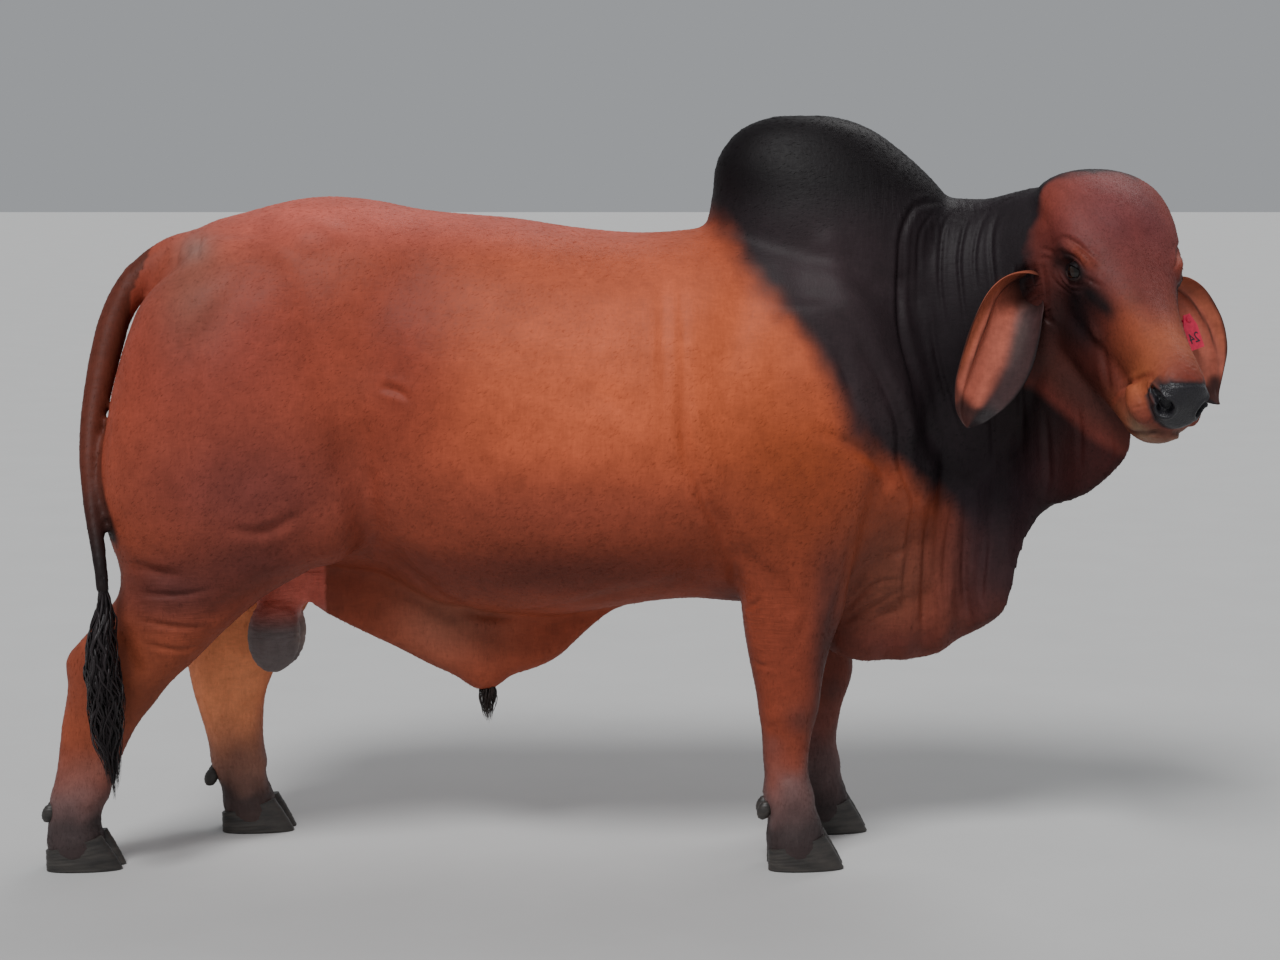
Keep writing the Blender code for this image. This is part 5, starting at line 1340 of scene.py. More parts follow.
def limb_tones(points, colours):
    x, y, z = points.T
    rough = 0.035 * noise(points, 0.05, 23)
    for side in (RIGHT, LEFT):
        shift = np.interp(z, *zip(*FORE_STEP)) if side == LEFT else 0.0
        own = (side * y > 0.0) * soft(x, 0.10, 0.24) * soft(-z, -0.86, -0.70)
        front = blob(
            np.stack([x - shift - 0.425, z], axis=1), (0.0, 0.42), (0.040, 0.40), 2.4
        )
        inner = np.clip((0.22 - side * y) / 0.06, 0, 1)
        colours = mixed(colours, (0.050, 0.022, 0.022), own * np.maximum(0.80 * front, 0.45 * inner))
        knee = blob(np.stack([x - shift, z], axis=1), (0.365, 0.352), (0.040, 0.042))
        colours = mixed(colours, (0.075, 0.028, 0.024), own * 0.70 * knee)
        step = np.interp(z, *zip(*HIND_STEP)) if side == LEFT else 0.0
        own = (side * y > 0.0) * soft(-x, 0.62, 0.80) * soft(-z, -0.78, -0.60)
        inner = np.clip((0.19 - side * y) / 0.06, 0, 1)
        # Painted light: the far (left) hind leg's inner side gets a pale orange, the sun on it; the right
        # one's inner side gets a darker red.
        paler = (0.950, 0.330, 0.150) if side == LEFT else (0.200, 0.048, 0.030)
        colours = mixed(colours, paler, own * 0.85 * inner)
        heel = blob(np.stack([x - step, z], axis=1), (-1.27, 0.47), (0.05, 0.10))
        colours = mixed(colours, (0.220, 0.046, 0.026), own * 0.5 * heel)
    fetlock = soft(-z + rough, -0.34, -0.14)
    colours = mixed(colours, (0.100, 0.080, 0.082), 0.80 * fetlock)
    colours = mixed(colours, (0.040, 0.030, 0.030), 0.90 * soft(-z + rough, -0.17, -0.09))
    bag = (abs(x + 0.84) < 0.11) & (abs(y) < 0.105) & (z < 0.70)
    lower = soft(-z, -0.60, -0.52)
    colours = mixed(colours, (0.560, 0.130, 0.095), bag * np.clip((0.71 - z) / 0.06, 0, 1))
    colours = mixed(colours, (0.140, 0.110, 0.108), bag * lower)
    rim = np.clip((x + 0.800) / 0.012, 0, 1) * lower
    colours = mixed(colours, (0.30, 0.22, 0.19), bag * 0.55 * rim)
    along = path_distance(points, np.array(TAIL)[:, :3])
    hanging = (along < 0.052) & (x < -1.02) & ((y < 0.06) | (z > 1.3)) & (x < -1.16 + 0.4 * (z - 1.3).clip(0))
    fade = soft(-z, -0.98, -0.72)
    tail = mixed(np.tile((0.105, 0.024, 0.014), (len(points), 1)), (0.014, 0.009, 0.009), fade)
    share = hanging * np.clip((0.050 - along) / 0.010, 0, 1)
    colours = colours * (1 - share[:, None]) + tail * share[:, None]
    dusty = blob(points, (-0.99, 0, 1.33), (0.09, None, 0.13))
    colours = mixed(colours, (0.16, 0.095, 0.068), 0.40 * dusty)
    bare = blob(points, (-1.00, 0, 1.415), (0.045, None, 0.030))
    return mixed(colours, (0.20, 0.16, 0.14), 0.45 * bare)


# Soft patches of the head in its own frame: place, with y on one side, radii, colour, share
HEAD_TONES = (
    ((-0.10, None, 0.09), (0.17, None, 0.10), (0.170, 0.040, 0.038), 0.95),
    ((-0.03, 0.035, 0.09), (0.10, 0.05, 0.05), (0.130, 0.034, 0.036), 0.80),
    ((-0.16, 0.125, 0.04), (0.08, 0.06, 0.07), (0.200, 0.040, 0.026), 0.80),
    ((0.08, None, 0.06), (0.09, None, 0.05), (0.140, 0.032, 0.028), 0.85),
    ((0.18, 0.008, 0.045), (0.10, 0.04, 0.04), (0.130, 0.030, 0.024), 0.80),
    ((0.180, 0.050, 0.005), (0.070, 0.026, 0.034), (0.240, 0.052, 0.023), 0.85),
    ((0.215, 0.062, -0.045), (0.08, 0.04, 0.05), (0.200, 0.047, 0.023), 0.85),
    ((0.255, None, 0.03), (0.06, None, 0.05), (0.310, 0.078, 0.034), 0.85),
    ((0.300, 0.050, -0.045), (0.05, 0.05, 0.06), (0.370, 0.100, 0.042), 0.92),
    ((0.040, 0.095, -0.135), (0.13, 0.08, 0.09), (0.012, 0.005, 0.005), 0.96),
    ((0.170, 0.065, -0.135), (0.09, 0.05, 0.05), (0.052, 0.011, 0.008), 0.85),
    ((0.060, 0.060, -0.200), (0.18, 0.07, 0.05), (0.080, 0.016, 0.012), 0.80),
    ((-0.090, 0.116, -0.133), (0.08, 0.07, 0.10), (0.018, 0.008, 0.008), 0.90),
    ((-0.080, 0.150, -0.050), (0.06, 0.05, 0.05), (0.090, 0.020, 0.017), 0.75),
    ((0.285, 0.048, -0.150), (0.06, 0.05, 0.035), (0.240, 0.072, 0.036), 0.85),
    ((0.345, None, -0.128), (0.035, None, 0.026), (0.300, 0.200, 0.130), 0.80),
    ((0.10, None, -0.215), (0.20, None, 0.05), (0.060, 0.022, 0.018), 0.85),
    ((-0.060, 0.140, -0.060), (0.030, 0.05, 0.050), (0.110, 0.024, 0.018), 0.75),
    ((0.046, 0.102, -0.050), (0.060, 0.05, 0.050), (0.006, 0.005, 0.0065), 0.98),
    ((0.072, 0.088, -0.012), (0.050, 0.04, 0.024), (0.005, 0.004, 0.005), 0.98),
    ((0.112, 0.075, -0.008), (0.034, 0.04, 0.015), (0.007, 0.005, 0.006), 0.94),
    ((0.080, 0.084, -0.080), (0.055, 0.05, 0.045), (0.007, 0.005, 0.0065), 0.96),
    ((0.120, 0.070, -0.060), (0.034, 0.04, 0.028), (0.050, 0.014, 0.012), 0.60),
    ((-0.012, 0.120, 0.010), (0.036, 0.03, 0.014), (0.012, 0.008, 0.009), 0.90),
    ((-0.036, 0.130, -0.014), (0.022, 0.03, 0.020), (0.020, 0.010, 0.010), 0.85),
    ((0.012, 0.108, 0.036), (0.045, 0.03, 0.009), (0.210, 0.044, 0.024), 0.85),
    ((0.000, 0.118, 0.015), (0.040, 0.03, 0.009), (0.012, 0.007, 0.007), 0.80),
)


def head_tones(points, colours):
    """The head's colours over those of the body, with painted shade along the mouth and the muzzle crease."""
    local = to_head(points)
    ragged = 0.022 * noise(points, 0.05, 61) + 0.010 * noise(points, 0.016, 62)
    edge = np.interp(local[:, 2], (-0.16, -0.08, -0.02, 0.06), (-0.10, -0.070, -0.135, -0.215))
    near = soft(local[:, 0] + ragged, edge - 0.020, edge + 0.035) * (abs(local[:, 1]) < 0.20)
    near *= soft(local[:, 2], -0.29, -0.26)
    mirrored = on_left(local)
    made = np.tile(np.array((0.150, 0.030, 0.022)), (len(points), 1))
    for place, radii, colour, share in HEAD_TONES:
        middle = tuple(0.0 if value is None else value for value in place)
        made = mixed(made, colour, share * blob(mirrored, middle, radii))
    rim, _, up = eye_frame(mirrored)
    by_eye = (abs(mirrored[:, 1] - EYE_FRONT) < 0.035) & (local[:, 0] < 0.08)
    lid = np.exp(-(((rim - 1.2) / 0.50) ** 2)) * by_eye
    made = mixed(made, (0.008, 0.006, 0.007), 0.96 * lid)
    pale = np.exp(-(((rim - 1.28) / 0.07) ** 2)) * by_eye * (up < -0.003)
    made = mixed(made, (0.110, 0.070, 0.060), 0.45 * pale)
    pad = in_nose_pad(local)
    edge = np.clip(1 + pad / 0.006, 0, 1) * (local[:, 0] > NOSE_BACK - 0.015)
    made = mixed(made, (0.030, 0.024, 0.026), 0.9 * edge)
    # Painted shade: a darker line along the slit between the lips.
    gap, _ = stroke_parts(local, np.array(MOUTH_LINE))
    made = mixed(made, (0.075, 0.032, 0.028), 0.75 * np.exp(-((gap / 0.006) ** 2)))
    # Painted shade: darker along the crease from the nostril down to the mouth's corner.
    folds, _ = stroke_parts(mirrored * np.array([1, -1, 1]), np.array(HEAD_CREASES[8][0]))
    made = mixed(made, (0.200, 0.041, 0.023), 0.60 * np.exp(-((folds / 0.007) ** 2)))
    return mixed(colours, (0, 0, 0), near) + made * near[:, None]


def tones(points):
    colours = head_tones(points, body_tones(points))
    broad = 1 + 0.10 * noise(points, 0.07, 31) + 0.08 * noise(points, 0.022, 32)
    return np.clip(colours * broad[:, None], 0, 1)


def detail_masks(points):
    """Shares of upright wrinkles, level wrinkles and bare skin, for the bump."""
    x, y, z = points.T
    local = to_head(points)
    neck_part = soft(x, 0.45, 0.60) * soft(-local[:, 0], 0.17, 0.27)
    neck_part += 0.5 * soft(-z, -1.1, -0.9) * soft(x, 0.45, 0.55)
    ribs = 0.35 * blob(points, (0.02, 0, 1.1), (0.20, None, 0.28))
    upright = np.clip(neck_part + ribs, 0, 1)
    level = blob(points, (-1.03, 0, 0.60), (0.14, None, 0.10))
    level += blob(points, (0.28, 0, 0.60), (0.10, None, 0.12))
    level += blob(points, (0.55, 0, 0.58), (0.08, None, 0.08))
    bag = (abs(x + 0.84) < 0.11) * (abs(y) < 0.105) * (z < 0.66) * (z > 0.39)
    eye = np.linalg.norm(np.abs(local) - (0.0, EYE_FRONT, 0.01), axis=1)
    bare = np.clip(bag + np.exp(-((eye / 0.035) ** 2)), 0, 1)
    return np.stack([upright, np.clip(level + bag, 0, 1), bare], axis=1)


def paint(mesh, name, colours):
    layer = mesh.attributes.new(name, "FLOAT_COLOR", "POINT")
    solid = np.hstack([colours, np.ones((len(colours), 1))])
    layer.data.foreach_set("color", solid.astype(np.float32).ravel())


def fast_mesh(name, points, faces):
    """A triangle mesh object straight from arrays."""
    mesh = bpy.data.meshes.new(name)
    mesh.vertices.add(len(points))
    mesh.vertices.foreach_set("co", points.astype(np.float32).ravel())
    mesh.loops.add(3 * len(faces))
    mesh.loops.foreach_set("vertex_index", faces.astype(np.int32).ravel())
    mesh.polygons.add(len(faces))
    mesh.polygons.foreach_set("loop_start", np.arange(0, 3 * len(faces), 3, dtype=np.int32))
    mesh.update(calc_edges=True)
    mesh.shade_smooth()
    return add_object(name, mesh)


def triangles_of(mesh):
    mesh.calc_loop_triangles()
    corners = np.empty(3 * len(mesh.loop_triangles), np.int32)
    mesh.loop_triangles.foreach_get("vertices", corners)
    return corners.reshape(-1, 3)


def in_region(spots, region):
    """Which places belong to a region of the coat, as 1 or 0."""
    local = to_head(spots)
    if region == "body":
        return np.where((local[:, 0] > -0.25) & (local[:, 2] > -0.30), 0.0, 1.0)
    if region == "head":
        head = (local[:, 0] > -0.27) & (local[:, 2] > -0.30) & (abs(local[:, 1]) < 0.2)
        return np.where(head, 1.0, 0.0)
    return np.where(spots[:, 2] < 0.30, 1.0, 0.0)


def scatter(mesh, count, region, draw):
    """Roots spread evenly over a region: places and the faces' outward directions."""
    points, _ = vertex_arrays(mesh)
    corners = triangles_of(mesh)
    spots = points[corners]
    cross = np.cross(spots[:, 1] - spots[:, 0], spots[:, 2] - spots[:, 0])
    area = np.linalg.norm(cross, axis=1) / 2
    weight = area * in_region(spots.mean(axis=1), region)
    chosen = np.searchsorted(np.cumsum(weight) / weight.sum(), draw.random(count))
    chosen = np.clip(chosen, 0, len(corners) - 1)
    first, second = draw.random(count), draw.random(count)
    over = first + second > 1
    first[over], second[over] = 1 - first[over], 1 - second[over]
    spot = spots[chosen]
    place = spot[:, 0] + first[:, None] * (spot[:, 1] - spot[:, 0])
    place += second[:, None] * (spot[:, 2] - spot[:, 0])
    out = cross[chosen] / np.linalg.norm(cross[chosen], axis=1)[:, None]
    return place, out


def unit(vectors):
    return vectors / np.maximum(np.linalg.norm(vectors, axis=1), 1e-9)[:, None]


def chart_places(points, outs):
    """Places on an unwrap of the skin: one tile for each region and the side it faces."""
    x, y, z = points.T
    local = to_head(points)
    region = np.where(local[:, 0] > -0.26, 1, 0)
    region = np.where((region == 0) & (x > 0.45), 2, region)
    low = z < 0.60
    region = np.where(low & (x > 0.1) & (y < 0), 3, region)
    region = np.where(low & (x > 0.1) & (y >= 0), 4, region)
    region = np.where(low & (x < -0.5) & (y < 0), 5, region)
    region = np.where(low & (x < -0.5) & (y >= 0), 6, region)
    axis = np.argmax(abs(outs), axis=1)
    sign = np.take_along_axis(outs, axis[:, None], axis=1)[:, 0] > 0
    tile = region * 6 + axis * 2 + sign
    flat = np.stack([
        np.where(axis == 0, y + 1.0, x + 1.5),
        np.where(axis == 2, y + 1.0, z),
    ], axis=1)
    flat = np.clip(flat / np.array([3.1, 2.0]), 0.01, 0.99)
    corner = np.stack([tile % 7, tile // 7], axis=1)
    return (corner + flat) / 7.0


def tufts(name, roots, outs, ways, lengths, widths, lift, colours, draw):
    """Thin closed tapered tufts that lie along the hide, each one with a bend in the middle."""
    count = len(roots)
    ways = unit(ways - outs * np.sum(ways * outs, axis=1)[:, None])
    sides = np.cross(outs, ways)
    swing = draw.normal(0, 0.16, count)[:, None]
    ways = unit(ways + sides * swing)
    sides = np.cross(outs, ways)
    lengths = (lengths * draw.uniform(0.7, 1.3, count))[:, None]
    widths = (widths * draw.uniform(0.8, 1.2, count))[:, None]
    rise = (lift * draw.uniform(0.6, 1.4, count))[:, None]
    thick = widths * 0.35
    base = roots - outs * 0.0012
    bend = roots + ways * lengths * 0.5 + outs * lengths * (rise * 0.5 + 0.02)
    tip = roots + ways * lengths + outs * lengths * rise * 0.55 + sides * lengths * swing * 0.5
    points = np.stack([
        base - sides * widths / 2,
        base + sides * widths / 2,
        base + outs * (thick + 0.0006),
        bend - sides * widths * 0.36,
        bend + sides * widths * 0.36,
        bend + outs * thick * 0.8,
        tip,
    ], axis=1)
    faces = np.array([
        (0, 1, 2), (0, 3, 4), (0, 4, 1), (1, 4, 5), (1, 5, 2), (2, 5, 3), (2, 3, 0),
        (3, 6, 4), (4, 6, 5), (5, 6, 3),
    ])
    faces = faces[:, ::-1]
    all_faces = (np.arange(count)[:, None, None] * 7 + faces[None]).reshape(-1, 3)
    thing = fast_mesh(name, points.reshape(-1, 3), all_faces)
    lean = unit(outs + TUFT_SHEEN * draw.normal(0, 1, (count, 3)))
    thing.data.normals_split_custom_set_from_vertices(np.repeat(lean, 7, axis=0).tolist())
    shade = draw.uniform(0.88, 1.12, count)[:, None]
    paint(thing.data, "Tone", np.repeat(np.clip(colours * shade, 0, 1), 7, axis=0))
    patch = chart_places(roots, outs)
    reach = 0.003 * np.array([(0, 0), (1, 0), (0.5, 0.3), (0.1, 0.6), (0.9, 0.6), (0.5, 0.7), (0.5, 1)])
    corners = (patch[:, None] + reach[None]).reshape(-1, 2)
    layer = thing.data.uv_layers.new(name="OFBake")
    layer.data.foreach_set("uv", corners[all_faces.reshape(-1)].astype(np.float32).ravel())
    return thing


def hair_ways(points):
    """The direction in which the hair lies."""
    z = points[:, 2]
    ways = np.tile(np.array([-0.80, 0.0, -0.60]), (len(points), 1))
    ways[z < 0.70] = (-0.12, 0.0, -1.0)
    high = np.clip((z - 1.40) / 0.1, 0, 1)[:, None]
    ways = ways * (1 - high) + np.array([-1.0, 0.0, -0.15]) * high
    local = to_head(points)
    head = (local[:, 0] > -0.25) & (abs(local[:, 1]) < 0.20) & (local[:, 2] > -0.28)
    turned = head_matrix().to_3x3()
    down = np.array(turned @ Vector((1, 0, -0.12)).normalized())
    up = np.array(turned @ Vector((-1, 0, 0.25)).normalized())
    share = np.clip((local[:, 0] + 0.02) / 0.06, 0, 1)[:, None]
    face = up * (1 - share) + down * share
    aside = 0.9 * np.sign(local[:, 1]) * np.exp(-((local[:, 0] / 0.10) ** 2))
    face += np.outer(aside, np.array(turned @ Vector((0, 1, 0))))
    ways[head] = face[head]
    tail = path_distance(points, np.array(TAIL)[:, :3]) < 0.050
    ways[tail] = (-0.1, -0.1, -1.0)
    swirl = np.stack([noise(points, 0.09, 41 + axis) for axis in range(3)], axis=1)
    return ways + HAIR_SWIRL * swirl


def fits_coat(points):
    """Keeps tufts off the nose pad, the eyes, the scrotum and inside the hooves."""
    local = to_head(points)
    eye = np.linalg.norm(on_left(local) - (EYE_PLACE[0], EYE_FRONT, EYE_PLACE[2]), axis=1)
    pad = in_nose_pad(local) < -0.003
    nostril = ~((local[:, 0] > 0.33) & (local[:, 2] > -0.075))
    x, y, z = points.T
    bag = (abs(x + 0.84) < 0.10) & (abs(y) < 0.10) & (z < 0.62) & (z > 0.38)
    return (eye > 0.026) & pad & nostril & ~bag & (z > 0.062)


def coat(skin):
    """Short tufts over the whole hide, in pieces, finest on the face and feet."""
    draw = np.random.default_rng(COAT_SEED)
    made = []
    for name, count, length, width, lift in COAT_PLANS:
        roots, outs = scatter(skin.data, count, name.split("_")[1], draw)
        keep = fits_coat(roots)
        roots, outs = roots[keep], outs[keep]
        lengths = np.full(len(roots), length)
        widths = np.full(len(roots), width)
        if "head" in name:
            muzzle = to_head(roots)[:, 0] > 0.27
            lengths = np.where(muzzle, length * 0.6, length)
            widths = np.where(muzzle, width * 0.8, width)
        made.append(
            tufts(name, roots, outs, hair_ways(roots), lengths, widths, lift, tones(roots), draw)
        )
    return made


def split_nose(skin):
    """Takes the bare nose pad off the skin as a piece of its own, along a shared edge."""
    mesh = skin.data
    points, _ = vertex_arrays(mesh)
    pad = in_nose_pad(to_head(points)) > 0
    nose = skin.copy()
    nose.data = mesh.copy()
    nose.name = nose.data.name = "nose"
    bpy.context.scene.collection.objects.link(nose)
    for thing, keep in ((skin, False), (nose, True)):
        work = bmesh.new()
        work.from_mesh(thing.data)
        drop = [
            face for face in work.faces
            if all(pad[vert.index] for vert in face.verts) != keep
        ]
        bmesh.ops.delete(work, geom=drop, context="FACES")
        work.to_mesh(thing.data)
        work.free()
    return nose


def ear_piece(side, name):
    """A fine hanging ear: its curled root, the rolled rear edge, and ribs inside the cup."""
    count, arc = EAR_ROWS, EAR_ARC
    points, shares = [], []
    for place, wide, opens, radius, curl, thick, part in ear_stations(side, count):
        turn = np.linspace(-curl, curl, arc)
        edge = turn / curl
        inward = -side
        fold = 0.010 * np.exp(-(((inward * edge - 0.45 - 0.25 * part) / 0.10) ** 2)) * np.sin(math.pi * part)
        ribs = 0.0016 * np.sin(9 * edge + 3 * part) * np.clip(1 - part, 0, 1) * (1 - edge**2)
        wave = 0.003 * math.sin(7 * part) * edge**3
        half = np.maximum(thick / 2 * (1 - 0.80 * edge**4), 0.0006)
        for sign in (1, -1):
            inner = (0.8 * fold + ribs) if sign == -1 else 0.5 * fold
            ring_radius = radius + sign * half - inner + wave
            ring = (
                np.outer(ring_radius * np.sin(turn), wide)
                - np.outer(ring_radius * np.cos(turn) - radius * 0.6, opens)
                + place
            )
            points.extend(ring if sign == 1 else ring[::-1])
            rows = np.stack([np.full(arc, part), edge, np.full(arc, sign)], axis=1)
            shares.extend(rows if sign == 1 else rows[::-1])
    faces = []
    loop = 2 * arc
    for row in range(count - 1):
        for step in range(loop):
            after = (step + 1) % loop
            low, high = row * loop, (row + 1) * loop
            faces.append((low + step, low + after, high + after, high + step))
    for start in (0, (count - 1) * loop):
        for step in range(arc - 1):
            far_side = start + loop - 1 - step
            faces.append((start + step, start + step + 1, far_side - 1, far_side))
    thing = mesh_object("ear_piece_" + name, points, faces)
    thing.data.transform(level_head_matrix())
    thing.data.shade_smooth()
    spots, _ = vertex_arrays(thing.data)
    paint(thing.data, "Tone", ear_tones(np.array(shares), spots, side))
    return thing


def ear_tones(shares, spots, side):
    """Red-brown inside between a bright rear fold and a dark front band, with a black tip, and painted shade
    in the cup's depth and along the fold.
    """
    part, edge, face = shares.T
    toward = side * edge
    inside = face < 0
    ragged = 0.05 * noise(spots, 0.03, 54)
    colours = np.tile(np.array((0.060, 0.024, 0.022)), (len(part), 1))
    colours[inside] = (0.430, 0.118, 0.078)
    streak = noise(np.stack([edge * 0.5, part * 0.12, face], axis=1), 0.11, 51)
    colours = mixed(colours, (0.270, 0.060, 0.038), inside * 0.7 * np.clip(streak, 0, 1))
    front = soft(toward + ragged, 0.05, 0.50)
    colours = mixed(colours, (0.024, 0.018, 0.021), inside * 0.94 * front)
    pale = blob(np.stack([toward, part], axis=1), (0.45, 0.42), (0.20, 0.16))
    colours = mixed(colours, (0.095, 0.066, 0.062), inside * 0.55 * pale)
    # Painted shade: dark deep in the cup near the root.
    painted_cup_shade = soft(-part, -0.30, -0.12) * (abs(edge) < 0.85)
    colours = mixed(colours, (0.030, 0.014, 0.013), inside * 0.85 * painted_cup_shade)
    strip = soft(-toward + ragged, 0.42 + 0.3 * part, 0.62 + 0.3 * part) * soft(-part, -0.80, -0.66)
    colours = mixed(colours, (0.380, 0.100, 0.055), 0.92 * strip)
    # Painted shade: a dark line along the crease of the rolled fold inside the ear.
    fold = np.exp(-(((-toward - 0.42 - 0.3 * part) / 0.035) ** 2)) * soft(-part, -0.80, -0.60)
    colours = mixed(colours, (0.022, 0.012, 0.011), inside * 0.80 * fold)
    root = soft(-part + ragged, -0.24, -0.06)
    colours = mixed(colours, (0.020, 0.011, 0.011), 0.88 * root)
    rim = soft(abs(edge) + 0.5 * ragged, 0.90, 1.0) * soft(part, 0.25, 0.45)
    tip = soft(part + ragged, 0.80, 0.92)
    colours = mixed(colours, (0.012, 0.009, 0.010), 0.92 * np.maximum(rim, tip))
    speckle = 1 + 0.12 * noise(spots, 0.008, 52) + 0.10 * noise(spots, 0.03, 53)
    return np.clip(colours * speckle[:, None], 0, 1)


def hoof_pieces():
    """Fine claws with growth rings over the solids' plain ones, and the dewclaws."""
    made = []
    for rows, steps, limb in ((FORE, FORE_STEP, "fore"), (HIND, HIND_STEP, "hind")):
        for side, name in SIDES:
            back, front, inner, outer = foot_box(rows, steps, side)
            width = outer - inner
            for claw, word in ((-1, "inner"), (1, "outer")):
                rings = []
                for index in range(CLAW_ROWS + 1):
                    part = index / CLAW_ROWS
                    toe = front + TOE_REACH * (1 - part) + 0.003
                    across, along = round_factors(CLAW_SIDES, 2.5)
                    x = (back + toe) / 2 + (toe - back) / 2 * along
                    forward = np.clip((x - back) / (toe - back), 0, 1)
                    growth = 0.00022 * math.sin(part * 46) + 0.0003 * math.sin(part * 19 + 2)
                    lip = 0.0030 * math.exp(-((part / 0.03) ** 2))
                    half = (width - CLEFT) / 4 * (1.04 - 0.05 * part) + growth - lip
                    middle = (inner + outer) / 2 + claw * (width + CLEFT) / 4
                    middle = middle - claw * TOE_TURN * forward**2 * (1 - part)
                    y = side * (middle + half * across * (1 - 0.22 * forward**3))
                    x = x + (growth - lip) * along
                    top = coronet_height(x, back, front) - 0.0006
                    rings.append(np.stack([x, y, top * part], axis=1))
                piece = loft(f"claw_{limb}_{name}_{word}", rings)
                piece.data.shade_smooth()
                piece.data.set_sharp_from_angle(angle=math.radians(50.0))
                made.append((piece, f"hoof_{limb}_{name}_{word}"))
                fetlock = min(rows, key=lambda row: abs(row[0] - FETLOCK_HEIGHT))
                shift = step_at(steps, fetlock[0]) if side == LEFT else 0.0
                place = (
                    fetlock[1] + shift + 0.004,
                    side * ((fetlock[3] + fetlock[4]) / 2 + claw * 0.027),
                    fetlock[0] - 0.028,
                )
                nub = ellipsoid(place, DEWCLAW, (0, 22, 0), 4)
                spots, normals = vertex_arrays(nub.data)
                rings_on_nub = 0.0005 * np.sin(spots[:, 2] * 900)
                set_points(nub.data, spots + normals * rings_on_nub[:, None])
                nub.name = f"nub_{limb}_{name}_{word}"
                nub.data.shade_smooth()
                made.append((nub, f"dewclaw_{limb}_{name}_{word}"))
    return made


def eyeball(side, name):
    """A dark eye with a raised cornea over a brown iris and a level pupil."""
    x, y, z = EYE_PLACE
    work = bmesh.new()
    bmesh.ops.create_uvsphere(work, u_segments=64, v_segments=48, radius=1.0)
    mesh = bpy.data.meshes.new("ball_" + name)
    work.to_mesh(mesh)
    work.free()
    points, _ = vertex_arrays(mesh)
    way = Vector((0.18, side, -0.06)).normalized()
    turned = head_matrix().to_3x3()
    out = np.array((turned @ way).normalized())
    facing = points @ out
    cornea = np.clip((facing - 0.80) / 0.20, 0, 1)
    place = np.array(head_matrix() @ Vector((x, side * y, z)))
    set_points(mesh, place + points * (EYE_RADIUS * (1 + 0.05 * cornea**1.5))[:, None])
    level = np.array((turned @ Vector((1, 0, 0))).normalized())
    level = level - out * (level @ out)
    level /= np.linalg.norm(level)
    rise = np.cross(out, level)
    flat = points - facing[:, None] * out
    along, up = flat @ level, flat @ rise
    colours = np.tile(np.array((0.090, 0.060, 0.050)), (len(points), 1))
    colours = mixed(colours, (0.016, 0.007, 0.004), (facing > 0.3) * 1.0)
    iris = np.hypot(along, up)
    colours = mixed(colours, (0.006, 0.004, 0.003), np.clip((iris - 0.50) / 0.12, 0, 1) * (facing > 0))
    colours = mixed(colours, (0.070, 0.045, 0.040), soft(iris, 0.86, 0.94))
    pupil = (np.hypot(along / 0.36, up / 0.16) < 1.0) & (facing > 0)
    colours[pupil] = (0.003, 0.003, 0.004)
    paint(mesh, "Tone", colours)
    mesh.shade_smooth()
    return add_object("eyeball_" + name, mesh)


